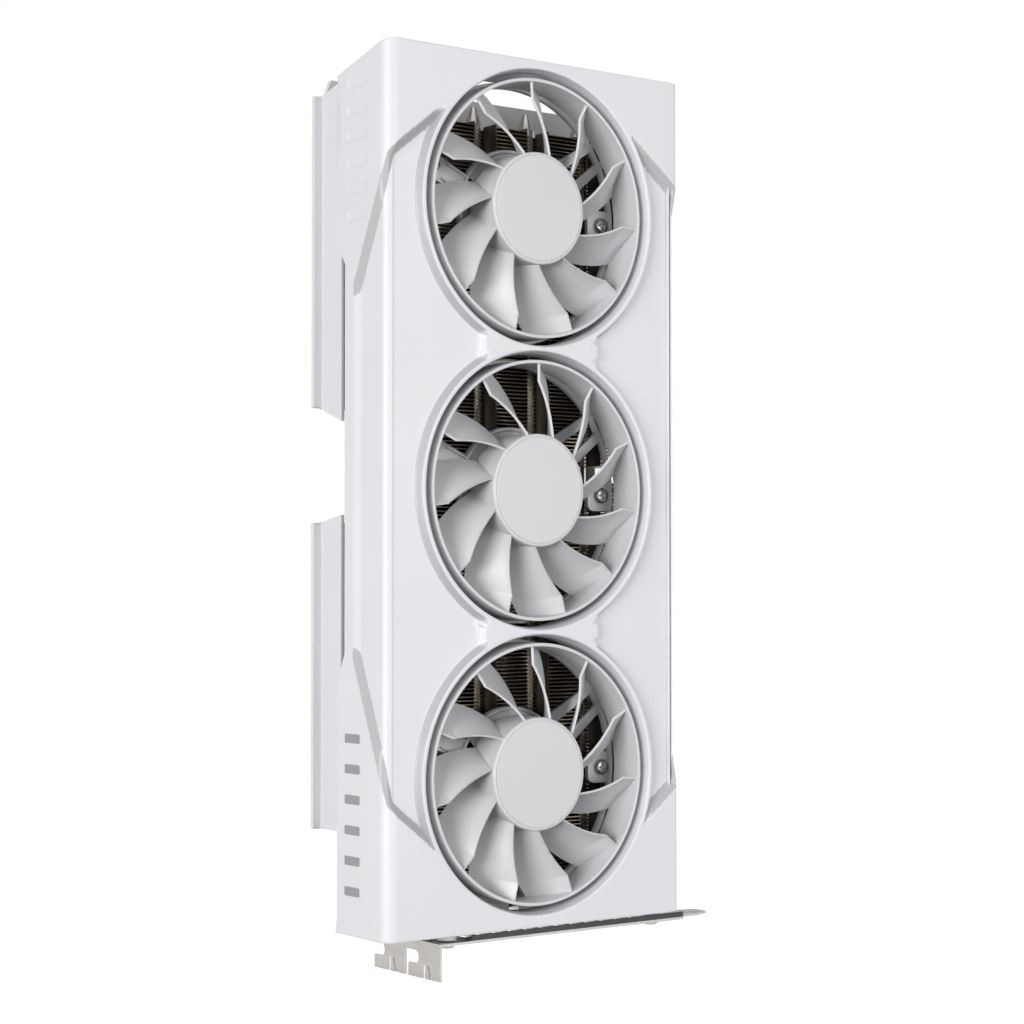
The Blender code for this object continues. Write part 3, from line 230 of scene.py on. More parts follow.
def make(name, points, faces, material, body="card", stands_for=(), sharp=35.0, kinds=()):
    """A mesh piece from points in the card's frame. faces may hold (face, material index) pairs."""
    mesh = bpy.data.meshes.new(name)
    mesh.from_pydata(world(points), [], [list(map(int, face)) for face in faces])
    for face, kind in zip(mesh.polygons, kinds):
        face.material_index = kind
    bm = bmesh.new()
    bm.from_mesh(mesh)
    bmesh.ops.remove_doubles(bm, verts=bm.verts, dist=1e-7)
    bm.to_mesh(mesh)
    bm.free()
    mesh.shade_smooth()
    mesh.set_sharp_from_angle(angle=math.radians(sharp))
    mesh.materials.append(material)
    thing = bpy.data.objects.new(name, mesh)
    bpy.context.scene.collection.objects.link(thing)
    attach(thing, body)
    if stands_for:
        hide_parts(*stands_for)
    return thing


def bevel(thing, width, segments=2, angle=40.0):
    modifier = thing.modifiers.new("edge", "BEVEL")
    modifier.width = width * MM
    modifier.segments = segments
    modifier.limit_method = "ANGLE"
    modifier.angle_limit = math.radians(angle)
    modifier.harden_normals = True
    return thing


class Shape:
    """Points and faces that several builders add to, for one piece."""

    def __init__(self):
        self.points, self.faces = [], []

    def add(self, points, faces):
        start = len(self.points)
        self.points += [tuple(p) for p in points]
        self.faces += [[start + i for i in face] for face in faces]
        return self

    def box(self, low, high):
        (a, b, c), (d, e, f) = low, high
        points = [(a, b, c), (d, b, c), (d, e, c), (a, e, c), (a, b, f), (d, b, f), (d, e, f), (a, e, f)]
        faces = [(0, 3, 2, 1), (4, 5, 6, 7), (0, 1, 5, 4), (1, 2, 6, 5), (2, 3, 7, 6), (3, 0, 4, 7)]
        return self.add(points, faces)

    def grid(self, rows, closed_rows=False, closed_columns=False, flip=False):
        """Faces between neighbouring rows of points."""
        count, width = len(rows), len(rows[0])
        points = [p for row in rows for p in row]
        faces = []
        for i in range(count if closed_rows else count - 1):
            for j in range(width if closed_columns else width - 1):
                a, b = i * width + j, i * width + (j + 1) % width
                c, d = (i + 1) % count * width + (j + 1) % width, (i + 1) % count * width + j
                faces.append((a, d, c, b) if flip else (a, b, c, d))
        return self.add(points, faces)

    def turned(self, profile, centre, segments=96, closed=True, axis="Y"):
        """A profile of (radius, along) points spun about an axis through centre."""
        rows = []
        for i in range(segments):
            t = math.tau * i / segments
            c, s = math.cos(t), math.sin(t)
            if axis == "Y":
                rows.append([(centre[0] + r * c, centre[1] + a, centre[2] + r * s) for r, a in profile])
            else:
                rows.append([(centre[0] + r * c, centre[1] + r * s, centre[2] + a) for r, a in profile])
        return self.grid(rows, closed_rows=True, closed_columns=closed, flip=axis == "Y")


def fix_normals(thing):
    bm = bmesh.new()
    bm.from_mesh(thing.data)
    bmesh.ops.recalc_face_normals(bm, faces=bm.faces)
    bm.to_mesh(thing.data)
    bm.free()
    return thing


def inside(points, polygon):
    """Whether each 2-D point lies in the polygon, by crossings."""
    p, poly = np.asarray(points, float), np.asarray(polygon, float)
    hit = np.zeros(len(p), bool)
    for (x1, y1), (x2, y2) in zip(poly, np.roll(poly, -1, axis=0)):
        if y1 == y2:
            continue
        cross = ((p[:, 1] < y1) != (p[:, 1] < y2)) & (
            p[:, 0] < x1 + (p[:, 1] - y1) * (x2 - x1) / (y2 - y1))
        hit ^= cross
    return hit


def triangulate(outline, holes=(), lines=(), loose=()):
    """Triangles that fill the outline less its holes, with edges along the given open lines."""
    points, edges = [], []

    def chain(line, closed):
        start = len(points)
        points.extend(Vector((float(a), float(b))) for a, b in line)
        last = len(line) if closed else len(line) - 1
        edges.extend((start + i, start + (i + 1) % len(line)) for i in range(last))

    for loop in (outline, *holes):
        chain(loop, True)
    for line in lines:
        chain(line, False)
    points.extend(Vector((float(a), float(b))) for a, b in loose)
    verts, _, faces, *_ = delaunay_2d_cdt(points, edges, [], 0, 1e-5)
    verts = np.array([tuple(v) for v in verts])
    faces = np.array([f for f in faces if len(f) == 3])
    middle = verts[faces].mean(axis=1)
    keep = inside(middle, outline)
    for hole in holes:
        keep &= ~inside(middle, hole)
    faces = faces[keep]
    a, b, c = (verts[faces[:, i]] for i in range(3))
    area = (b[:, 0] - a[:, 0]) * (c[:, 1] - a[:, 1]) - (b[:, 1] - a[:, 1]) * (c[:, 0] - a[:, 0])
    faces = faces[np.abs(area) > 1e-7]
    return verts, faces


def circle(cx, cy, radius, count=48, start=0.0):
    return [(cx + radius * math.cos(start + math.tau * i / count),
             cy + radius * math.sin(start + math.tau * i / count)) for i in range(count)]


def rounded_box(low, high, radius, steps=5):
    """A rectangle's outline with round corners, counter-clockwise."""
    points = []
    for cx, cy, start in ((high[0] - radius, low[1] + radius, -90), (high[0] - radius, high[1] - radius, 0),
                          (low[0] + radius, high[1] - radius, 90), (low[0] + radius, low[1] + radius, 180)):
        for i in range(steps + 1):
            angle = math.radians(start + 90 * i / steps)
            points.append((cx + radius * math.cos(angle), cy + radius * math.sin(angle)))
    return points


def plate(shape, outline, holes, start, end, axis):
    """A flat plate with holes, between start and end along an axis, its outline in the other two."""
    order = {"X": (2, 0, 1), "Y": (0, 2, 1), "Z": (0, 1, 2)}[axis]
    verts, faces = triangulate(outline, holes)
    count = len(verts)

    def spread(level):
        both = np.column_stack([verts, np.full(count, level)])
        return both[:, order]

    points = np.vstack([spread(start), spread(end)])
    sides = {}
    for tri in faces:
        for i in range(3):
            a, b = int(tri[i]), int(tri[(i + 1) % 3])
            if (b, a) in sides:
                del sides[(b, a)]
            else:
                sides[(a, b)] = True
    made = [tuple(tri) for tri in faces] + [tuple(count + i for i in tri[::-1]) for tri in faces]
    made += [(a, b, count + b, count + a) for a, b in sides]
    return shape.add(points, made)

# ---------------------------------------------------------------- CAD nodes that stay

NODE_MATERIALS = {
    "shroud": WHITE, "backplate": PAINT, "circuit_board": BOARD, "bracket": NICKEL, "power_socket": BLACK,
    "gpu_package": BOARD, "gpu_die": DIE, "cold_plate": PIPE, "retention_plate": STEEL,
    "fin_stack_foot": FIN, "fin_stack_far": FIN, "hdmi_port": SHELL, "display_port": SHELL,
    "heat_pipe": PIPE, "power_choke": FERRITE, "memory_chip": MOULD, "backplate_screw": STEEL,
    "bracket_screw": STEEL, "rotor": ROTOR_WHITE, "magnet": FERRITE, "shaft": STEEL, "bearing": BRONZE,
    "stator": COPPER, "frame": FRAME_GREY, "fan_screw": STEEL,
}


def node_material(node):
    if node in NODE_MATERIALS:
        return NODE_MATERIALS[node]
    words = node.split("_")
    if words[0] == "fan":
        return NODE_MATERIALS["fan_screw" if words[2] == "screw" else words[2]]
    return NODE_MATERIALS["_".join(words[:-1])]


for node, thing in frame["nodes"].items():
    thing.data.materials.clear()
    thing.data.materials.append(node_material(node))

# ---------------------------------------------------------------- shroud

CORNER_LEFT, CORNER_RIGHT = 4.5, 1.2
END_DEPTH, MIDDLE_DEPTH = 30.0, 24.6
FRONT_SINK, SIDE_SINK = 2.6, 1.3
FAR_SLANT = 8.0 / END_DEPTH
OPENING = 46.6
CREST, FLARE = 1.4, 1.7
ROUNDING = 0.55
SLOPE_RUN, BAND_RUN = 3.4, 0.5
BAND = (39.4, 86.3)
RAIL = MIDDLE_DEPTH - 5.0
CAP_TOP, CAP_FOOT = LENGTH - 36.8, 43.5
CAP_RUN, CAP_RISE = 19.6, 15.6


def soft(t, r=0.12):
    """A ramp from 0 to 1 with its two corners rounded over a share r of its run."""
    t = np.clip(t, 0.0, 1.0)
    k = 1.0 / (1.0 - r)
    return np.where(t < r, k * t * t / (2 * r), np.where(t < 1 - r, k * (t - r / 2), 1 - k * (1 - t) ** 2 / (2 * r)))


def distance(points, line):
    """Each point's distance to a polyline."""
    best = np.full(len(points), 1e9)
    for a, b in zip(np.array(line[:-1], float), np.array(line[1:], float)):
        d = b - a
        t = np.clip(((points - a) @ d) / (d @ d), 0, 1)
        best = np.minimum(best, np.linalg.norm(points - a - t[:, None] * d, axis=1))
    return best


ZONE_TOP = [(BAND[0], CAP_TOP + CAP_RISE), (CAP_RUN, CAP_TOP + CAP_RISE), (0.0, CAP_TOP),
            (-RAIL, CAP_TOP - 41.6)]
ZONE_FOOT = [(-RAIL, CAP_FOOT + 46.5), (0.0, CAP_FOOT), (CAP_RUN, CAP_FOOT - CAP_RISE),
             (BAND[0], CAP_FOOT - CAP_RISE)]
ZONE = ZONE_TOP + ZONE_FOOT
SIDE_MARKS = []


def fold(u):
    """The unrolled place measured from the nearer front corner, and how far round that corner it lies."""
    folded = np.minimum(u, WIDTH - u)
    radius = np.where(u > WIDTH / 2, CORNER_RIGHT, CORNER_LEFT)
    return folded, radius, np.clip((radius - folded) / (2 * radius), 0, 1)


def ring_distance(u, z):
    return np.min([np.hypot(u - x, z - cz) for x, cz in FANS], axis=0)


def sink(u, z):
    """How far the outer face lies behind its full height, at unrolled place u across and z along."""
    folded, _, turn = fold(u)
    points = np.column_stack([folded, z])
    border = distance(points, ZONE[:8]) / SLOPE_RUN
    band = (BAND[0] - folded) / BAND_RUN
    right = u > WIDTH / 2
    band = np.where(right, (u - BAND[1]) / BAND_RUN, band)
    zone = inside(np.column_stack([np.where(right & (u < WIDTH - CAP_RUN - 1), 30.0, folded), z]), ZONE)
    share = np.where(zone, soft(np.minimum(border, 9.0)) * soft(band, 0.35), 0.0)
    depth = share * (FRONT_SINK * (1 - turn) + SIDE_SINK * turn)
    ring = ring_distance(u, z)
    crest = soft((ring - OPENING - CREST) / FLARE, 0.25) * FRONT_SINK
    depth = np.minimum(depth, crest)
    lip = np.clip(OPENING + ROUNDING - ring, 0, ROUNDING)
    depth += ROUNDING - np.sqrt(ROUNDING ** 2 - lip ** 2)
    top = far_end(u)
    edge = np.clip(0.4 - np.minimum(z, top - z), 0, 0.4)
    return depth + 0.4 - np.sqrt(0.16 - edge ** 2)


def depth_at(u):
    """The y of the full-height outer face at unrolled place u."""
    folded, radius, turn = fold(u)
    return np.where(folded < -radius, -folded, radius * (1 - np.cos(turn * math.pi / 2)))


def far_end(u):
    return LENGTH - FAR_SLANT * depth_at(u)


def roll(u, z, inward):
    """Points in the card's frame from unrolled places, moved inward from the full-height face."""
    folded, corner, turn = fold(u)
    turn = turn * math.pi / 2
    radius = corner - inward
    x = np.where(folded < -corner, inward, corner - radius * np.sin(turn))
    x = np.where(folded > corner, folded, x)
    y = np.where(folded < -corner, -folded, corner - radius * np.cos(turn))
    x = np.where(u > WIDTH / 2, WIDTH - x, x)
    return np.column_stack([x, y, z])


def slope_shade_faces(u, z):
    """Whether each place lies on a cap's sloping border or on a ring's flare, which get painted shade: a greyer copy of
    the white moulding that stands in for their shading.
    """
    folded = np.minimum(u, WIDTH - u)
    points = np.column_stack([folded, z])
    cap = np.minimum(distance(points, ZONE_TOP), distance(points, ZONE_FOOT)) < SLOPE_RUN
    zone = inside(np.column_stack([np.minimum(folded, BAND[0] - 0.01), z]), ZONE)
    ring = ring_distance(u, z) - OPENING
    in_band = (u > BAND[0]) & (u < BAND[1])
    flare = (ring > CREST + 0.15) & (ring < CREST + FLARE + 0.1) & ~in_band & zone
    return ((cap & zone & ~in_band & (ring > CREST + FLARE)) | flare).astype(int).tolist()


def shroud_outline():
    left = [(-END_DEPTH, 0.0), (-END_DEPTH, 79.6), (-MIDDLE_DEPTH, 91.0), (-MIDDLE_DEPTH, LENGTH - 71.0),
            (-END_DEPTH, LENGTH - 63.0), (-END_DEPTH, LENGTH - 8.0)]
    foot = [(u, 0.0) for u in np.concatenate([np.linspace(-30, -4.5, 22), np.linspace(-3.6, 4.5, 10),
                                              np.linspace(6, WIDTH / 2, 40)])]
    top = [(u, float(far_end(np.array([u]))[0])) for u, _ in foot]
    half = foot[::-1][:-1] + left[:1] + left[1:-1] + top
    mirror = [(WIDTH - u, z) for u, z in half]
    return half + mirror[::-1][1:-1]


def build_shroud():
    outline = shroud_outline()
    holes = [circle(x, z, OPENING, 160) for x, z in FANS]
    lines = []
    loose = []
    for x, z in FANS:
        for extra in (0.06, 0.2, ROUNDING, 1.0, 1.4, 1.6, 1.85, 2.25, 2.6, 2.85, 3.1, 3.5, 4.2):
            loose += circle(x, z, OPENING + extra, 160, 0.0)
    coarse = np.array([(u, z) for u in np.arange(-29.0, WIDTH + 29.5, 2.0) for z in np.arange(1.0, LENGTH, 2.0)])
    fine = np.array([(u, z) for u in np.arange(-29.7, WIDTH + 29.8, 0.55) for z in np.arange(0.3, LENGTH, 0.55)])
    folded = np.minimum(fine[:, 0], WIDTH - fine[:, 0])
    border = distance(np.column_stack([folded, fine[:, 1]]), ZONE)
    near = (border < 4.6) | (np.abs(folded) < CORNER_LEFT + 0.6)
    bands = (np.abs(fine[:, 0] - BAND[0]) < 1.2) | (np.abs(fine[:, 0] - BAND[1]) < 1.2)
    bands &= (fine[:, 1] > 20) & (fine[:, 1] < LENGTH - 12)
    mark = side_mark_mask(fine[:, 0], fine[:, 1], 0.8)
    points = np.vstack([coarse, fine[near | bands | mark]])
    clear = ring_distance(points[:, 0], points[:, 1]) > OPENING + 4.6
    points = points[clear & inside(points, outline)]
    top = far_end(points[:, 0])
    room = np.minimum(points[:, 1], top - points[:, 1]) > 0.75
    loose = [p for p in loose if 0.1 < p[1] < LENGTH - 0.1]
    loose = [p for i, p in enumerate(loose) if True]
    loose += points[room].tolist()
    for offset in (0.03, 0.12, 0.25, 0.4):
        lines.append([(u, offset) for u in np.linspace(-29.8, WIDTH + 29.8, 180)])
        lines.append([(u, float(far_end(np.array([u]))[0]) - offset)
                      for u in np.linspace(-29.8, WIDTH + 29.8, 180)])
    verts, faces = triangulate(outline, holes, lines, loose)
    u, z = verts[:, 0], verts[:, 1]
    outer = roll(u, z, sink(u, z) + side_marks(u, z))
    turn = fold(u)[2]
    wall = 4.3 * (1 - turn) + 2.6 * turn
    inner = roll(u, z, wall)
    shape = Shape()
    count = len(verts)
    # Faces on the sloping borders and flares take the second material, the painted shade.
    kinds = slope_shade_faces(*verts[faces].mean(axis=1).T)
    made = [tuple(t) for t in faces] + [tuple(count + i for i in t[::-1]) for t in faces]
    rim = {}
    for tri in faces:
        for i in range(3):
            a, b = int(tri[i]), int(tri[(i + 1) % 3])
            if (b, a) in rim:
                del rim[(b, a)]
            else:
                rim[(a, b)] = True
    made += [(a, b, count + b, count + a) for a, b in rim]
    shape.add(np.vstack([outer, inner]), made)
    for x, cz in FANS:
        shape.turned([(OPENING, ROUNDING), (OPENING - 0.15, 1.2), (OPENING - 0.5, 2.6), (OPENING - 0.6, 3.6),
                      (OPENING - 0.6, 11.0), (OPENING - 0.3, 11.3), (OPENING + 0.6, 11.3), (OPENING + 0.9, 11.0),
                      (OPENING + 1.0, 4.0)], (x, 0.0, cz), 160)
    section = [(0.15, 29.9), (0.15, 4.5)] + [
        (4.5 - 4.35 * math.cos(a), 4.5 - 4.35 * math.sin(a)) for a in np.linspace(0.1, 1.47, 9)]
    section += [(WIDTH - x, y) for x, y in section[::-1]]
    window = [(WIDTH - 7.8, 29.0), (WIDTH - 7.8, 14.7), (7.8, 14.7), (7.8, 29.0)]
    for start, end, slant in ((0.02, 2.0, 0.0), (LENGTH - 2.1, LENGTH - 0.05, FAR_SLANT)):
        walled = Shape()
        body = [(x, y) for x, y in section]
        body = body[:0] + [(7.8, 29.9), (7.8, 14.7), (WIDTH - 7.8, 14.7), (WIDTH - 7.8, 29.9)] + body[::-1]
        plate(walled, body, (), start, end, "Z")
        points = [(x, y, z - slant * y) for x, y, z in walled.points]
        shape.add(points, walled.faces)
    for x in (31.0, 118.0):
        shape.turned([(1.5, -2.7), (3.0, -2.7), (3.2, -2.5), (3.2, 0.3), (1.5, 0.3)], (x, 10.5, 0.0), 32, axis="Z")
    thing = make("shroud_shell", shape.points, shape.faces, WHITE, stands_for=("shroud",),
                 sharp=50.0, kinds=kinds)
    thing.data.materials.append(SLOPE_SHADE_GREY)
    return fix_normals(thing)


# Plain slots stand in the two places where the side carries lettering.
TOP_MARKS = [(-17.6, 233.0 + 8.6 * i, 11.6, 3.4) for i in range(6)]
FOOT_MARKS = [(-19.7, 13.0 + 9.9 * i, 9.0, 3.0) for i in range(6)]


def side_mark_mask(u, z, grow):
    hit = np.zeros(len(u), bool)
    for cu, cz, wide, tall in TOP_MARKS:
        hit |= (np.abs(u - cu) < wide / 2 + grow) & (np.abs(z - cz - tall / 2) < tall / 2 + grow)
    return hit


def side_marks(u, z):
    """The shallow emboss of the upper marks, on the left side only."""
    out = np.zeros(len(u))
    for cu, cz, wide, tall in TOP_MARKS:
        a = (wide / 2 - np.abs(u - cu)) / 0.5
        b = (tall / 2 - np.abs(z - cz - tall / 2)) / 0.5
        out = np.maximum(out, soft(np.minimum(a, b)) * 0.35)
    return out


build_shroud()

bars = Shape()
for cu, cz, wide, tall in FOOT_MARKS:
    outline = rounded_box((-cu - wide / 2, cz), (-cu + wide / 2, cz + tall), 0.5)
    verts, faces = triangulate(outline)
    bars.add([(-0.02, y, z) for y, z in verts], faces)
make("side_print", bars.points, bars.faces, PRINT_GREY)

# ---------------------------------------------------------------- rotors

ROTOR = OPENING - 2.8
HUB = 19.0
BLADES = 11
PHASES = (9.2, 5.0, 8.9)
WRAP = math.radians(20.0)
LEAD = math.radians(19.0)
KINK = 0.84 * ROTOR


def blade_lead(radius, share):
    """How far round the blade leads its root: past the kink the front edge holds still, the rest sweeps on."""
    lead = LEAD * (max(radius - HUB, 0.0) / (KINK - HUB)) ** 0.85
    return LEAD + (lead - LEAD) * min(1.5 * share, 1.0) if lead > LEAD else lead


def blade_rows():
    """Rows of points for one blade, from the hub out: front face, nose, back face."""
    radii = np.concatenate([np.linspace(HUB - 0.6, KINK - 1.0, 18), np.linspace(KINK - 0.6, KINK + 0.6, 5),
                            np.linspace(KINK + 1.2, ROTOR - 0.6, 7)])
    chord = np.concatenate([[0.0, 0.015, 0.04], np.linspace(0.08, 1.0, 16)])
    rows = []
    for radius in radii:
        front, back = [], []
        for share in chord:
            angle = blade_lead(radius, share) - WRAP * share
            depth = 2.0 + 11.6 * share ** 0.9
            half = 0.42 - 0.2 * share
            for side, line in ((-1, front), (1, back)):
                turn = angle + side * half * 0.85 / radius
                y = depth + side * half * 0.55
                line.append((radius * math.cos(turn), y, radius * math.sin(turn)))
        rows.append(front + back[::-1])
    return rows


def build_rotor(index):
    x, z = FANS[index - 1]
    shape = Shape()
    hub = [(0.0, 1.0), (17.6, 1.0), (17.75, 1.05), (17.85, 1.28), (18.0, 1.28), (18.1, 1.06), (18.3, 1.05),
           (18.7, 1.2), (18.93, 1.5), (19.0, 2.0), (19.0, 14.6), (18.6, 15.0), (17.8, 15.0), (17.6, 14.8),
           (17.6, 3.0), (0.0, 3.0)]
    shape.turned(hub[1:-1], (x, 0.0, z), 128, closed=False)
    for y, radius in ((1.0, 17.6), (3.0, 17.6)):
        disc = circle(x, z, radius, 128)
        shape.add([(a, y, b) for a, b in disc], [list(range(128))])
    ring = [(ROTOR - 1.2, 1.5), (ROTOR - 1.1, 1.15), (ROTOR - 0.8, 1.0), (ROTOR - 0.3, 1.0), (ROTOR - 0.08, 1.12),
            (ROTOR, 1.4), (ROTOR, 14.2), (ROTOR - 0.3, 14.5), (ROTOR - 0.9, 14.5), (ROTOR - 1.2, 14.2)]
    shape.turned(ring, (x, 0.0, z), 160)
    rows = blade_rows()
    for blade in range(BLADES):
        turn = math.radians(PHASES[index - 1]) + math.tau * blade / BLADES
        c, s = math.cos(turn), math.sin(turn)
        placed = [[(x + px * c - pz * s, y, z + px * s + pz * c) for px, y, pz in row] for row in rows]
        shape.grid(placed, closed_columns=True)
    thing = make(f"fan_{index}_blades", shape.points, shape.faces, ROTOR_WHITE, body=f"fan_{index}",
                 stands_for=(f"fan_{index}_rotor",), sharp=42.0)
    return fix_normals(thing)


for index in (1, 2, 3):
    build_rotor(index)

# ---------------------------------------------------------------- fin stacks

FIN_PITCH, FIN_THICK = 1.3, 0.3
NOTCH_FLOOR = 27.2
random = np.random.default_rng(7)
PIPES = []
for index in (1, 2, 3):
    low, high = design_box(f"heat_pipe_{index}")
    PIPES.append((low.x + high.x) / 2)


def fin_outline(back):
    left, right = 7.0, 115.0
    points = [(left, 19.9), (left + 0.4, 19.5)]
    for x in PIPES:
        a, b = x - 7.2, x + 2.2
        points += [(a, 19.5), (a, NOTCH_FLOOR), (b, NOTCH_FLOOR), (b, 19.5)]
    points += [(right - 0.4, 19.5), (right, 19.9), (right, back)]
    points += [(left, back)]
    return points


def build_stack(name, start, end):
    fins, tabs, strips = Shape(), Shape(), Shape()
    templates = {}
    for back in (34.1, 43.6):
        holder = Shape()
        plate(holder, fin_outline(back), (), 0.0, FIN_THICK, "Z")
        templates[back] = holder
    z = start
    while z + FIN_THICK < end:
        holder = templates[43.6 if z > 198.5 else 34.1]
        lean = float(random.normal(0.0, 0.035))
        fins.add([(x, y, pz + z + lean) for x, y, pz in holder.points], holder.faces)
        for x in PIPES:
            for at in (x - 3.6, x - 1.7):
                wide = 0.95 + float(random.uniform(-0.12, 0.12))
                tabs.box((at, NOTCH_FLOOR - 0.7, z + 0.32), (at + wide, NOTCH_FLOOR - 0.25, z + 1.0))
        if not 153.0 < z < 164.0:
            for at in (97.0, 106.6):
                tabs.box((at, 19.5, z + 0.3), (at + 0.7, 19.75, z + 0.92))
            strips.box((114.6, 19.9, z + 0.25), (114.9, 34.0, z + 1.2))
        z += FIN_PITCH
    for x in PIPES:
        strips.box((x + 1.95, 19.7, start + 0.2), (x + 2.18, NOTCH_FLOOR - 0.1, end - 0.2))
        strips.box((x - 7.3, 19.7, start + 0.2), (x - 7.05, NOTCH_FLOOR - 0.1, end - 0.2))
    make(f"{name}_fins", fins.points, fins.faces, FIN, stands_for=(name,), sharp=30.0)
    make(f"{name}_collars", tabs.points, tabs.faces, FIN_TAB, sharp=30.0)
    make(f"{name}_flanges", strips.points, strips.faces, FIN_STRIP, sharp=30.0)


build_stack("fin_stack_foot", 13.5, 149.5)
build_stack("fin_stack_far", 155.5, 271.5)

# ---------------------------------------------------------------- fan frames and screws

FRAME_FRONT, FRAME_BACK = 17.6, 19.2
SCREW_PLACES = ((39.1, -0.8), (35.5, 157.0), (35.5, 256.0))
STRUTS = (((14.5, 14.8), (34.8, 26.9)), ((19.0, 4.6), (39.2, 20.8)))


def capsule(x0, z0, x1, z1, r0, r1, steps=14):
    """The outline round two circles of radius r0 and r1 joined by straight sides."""
    heading = math.atan2(z1 - z0, x1 - x0)
    points = [(x0 + r0 * math.cos(heading + math.pi / 2 + math.pi * i / steps),
               z0 + r0 * math.sin(heading + math.pi / 2 + math.pi * i / steps)) for i in range(steps + 1)]
    points += [(x1 + r1 * math.cos(heading - math.pi / 2 + math.pi * i / steps),
                z1 + r1 * math.sin(heading - math.pi / 2 + math.pi * i / steps)) for i in range(steps + 1)]
    return points


def build_frame(index):
    x, z = FANS[index - 1]
    shape = Shape()
    shape.turned([(3.9, FRAME_FRONT), (20.6, FRAME_FRONT), (20.8, FRAME_FRONT - 0.9), (21.2, FRAME_FRONT - 1.1),
                  (21.7, FRAME_FRONT - 0.9), (22.0, FRAME_FRONT - 0.3), (22.0, FRAME_BACK), (3.9, FRAME_BACK)],
                 (x, 0.0, z), 96)
    shape.turned([(42.9, FRAME_FRONT + 0.2), (44.9, FRAME_FRONT + 0.2), (44.9, FRAME_BACK), (42.9, FRAME_BACK)],
                 (x, 0.0, z), 120)
    for place, (reach, angle) in enumerate(SCREW_PLACES):
        turn = math.radians(angle)
        ex, ez = x + reach * math.cos(turn), z + reach * math.sin(turn)
        sx, sz = x + 20.5 * math.cos(turn), z + 20.5 * math.sin(turn)
        if place == 0:
            lug = rounded_box((ex - 5.4, z - 6.0), (ex + 5.4, z + 4.8), 2.6, 6)
            plate(shape, lug, (circle(ex, ez, 1.55, 24),), FRAME_FRONT, FRAME_BACK, "Y")
            for start, end in STRUTS:
                outline = capsule(x + start[0], z + start[1], x + end[0], z + end[1], 1.9, 1.5)
                plate(shape, outline, (), FRAME_FRONT + 0.1, FRAME_BACK - 0.1, "Y")
        else:
            plate(shape, capsule(sx, sz, ex, ez, 3.5, 4.3), (circle(ex, ez, 1.55, 24),), FRAME_FRONT, FRAME_BACK, "Y")
            side = (-math.sin(turn), math.cos(turn))
            for off in (-2.9, 2.5):
                a = (sx + side[0] * off, sz + side[1] * off)
                b = (ex - 5.2 * math.cos(turn) + side[0] * off, ez - 5.2 * math.sin(turn) + side[1] * off)
                rib = [a, b, (b[0] + side[0] * 0.5, b[1] + side[1] * 0.5), (a[0] + side[0] * 0.5, a[1] + side[1] * 0.5)]
                plate(shape, rib, (), FRAME_FRONT - 0.9, FRAME_FRONT + 0.2, "Y")
    thing = make(f"fan_{index}_mount", shape.points, shape.faces, FRAME_GREY,
                 stands_for=(f"fan_{index}_frame",))
    fix_normals(thing)
    bevel(thing, 0.22, 2)


def screw_head(shape, centre, radius, height, facing, cross):
    """A pan head with a cross recess. facing is an axis letter and a sign; centre is on its seat."""
    axis, sign = facing
    half, reach, sunk = cross
    outline = circle(0.0, 0.0, radius, 40)
    arm = []
    for quarter in range(4):
        c, s = round(math.cos(math.pi / 2 * quarter)), round(math.sin(math.pi / 2 * quarter))
        arm += [(c * px - s * pz, s * px + c * pz) for px, pz in ((half, -half), (reach, -half * 0.8), (reach, half * 0.8))]
    grown = [(px * 1.16, pz * 1.16) for px, pz in arm]
    loose = [p for k in (0.3, 0.5, 0.7, 0.85, 0.95) for p in circle(0.0, 0.0, radius * k, 28, k)]
    verts, faces = triangulate(outline, (), (arm + arm[:1], grown + grown[:1]), loose)
    far = np.hypot(verts[:, 0], verts[:, 1]) / radius
    rise = height * (0.42 + 0.58 * np.sqrt(np.clip(1 - far ** 4, 0, 1)))
    inner = inside(verts * 1.02, [(px * 1.05, pz * 1.05) for px, pz in arm])
    rise = np.where(inner, rise - sunk * (1 - 0.5 * far), rise)
    count = len(verts)
    points = []
    for level in (rise, np.zeros(count)):
        for (a, b), up in zip(verts, level):
            local = {"Y": (a, sign * up, b), "Z": (a, b, sign * up)}[axis]
            points.append(tuple(p + q for p, q in zip(local, centre)))
    rim = {}
    for tri in faces:
        for i in range(3):
            a, b = int(tri[i]), int(tri[(i + 1) % 3])
            if (b, a) in rim:
                del rim[(b, a)]
            else:
                rim[(a, b)] = True
    made = [tuple(tri) for tri in faces] + [tuple(count + i for i in tri[::-1]) for tri in faces]
    made += [(a, b, count + b, count + a) for a, b in rim]
    shape.add(points, made)


def build_screw(node, name, facing, radius, height, cross):
    low, high = design_box(node)
    axis, sign = facing
    middle = [(a + b) / 2 for a, b in zip(low, high)]
    along = {"Y": 1, "Z": 2}[axis]
    outer = high[along] if sign > 0 else low[along]
    seat = outer - sign * height
    centre = list(middle)
    centre[along] = seat
    shape = Shape()
    screw_head(shape, centre, radius, height, facing, cross)
    tip = low[along] if sign > 0 else high[along]
    length = tip - seat
    ends = sorted((0.02 * -sign, length))
    turns = [(1.05, ends[0])]
    step = 0.25
    level = ends[0] + step
    while level < ends[1] - step:
        turns.append((1.2 if len(turns) % 2 else 1.02, level))
        level += step
    turns.append((1.0, ends[1]))
    shape.turned([(0.05, ends[0])] + turns + [(0.05, ends[1])], centre, 20, axis=axis)
    fix_normals(make(name, shape.points, shape.faces, STEEL, stands_for=(node,), sharp=28.0))


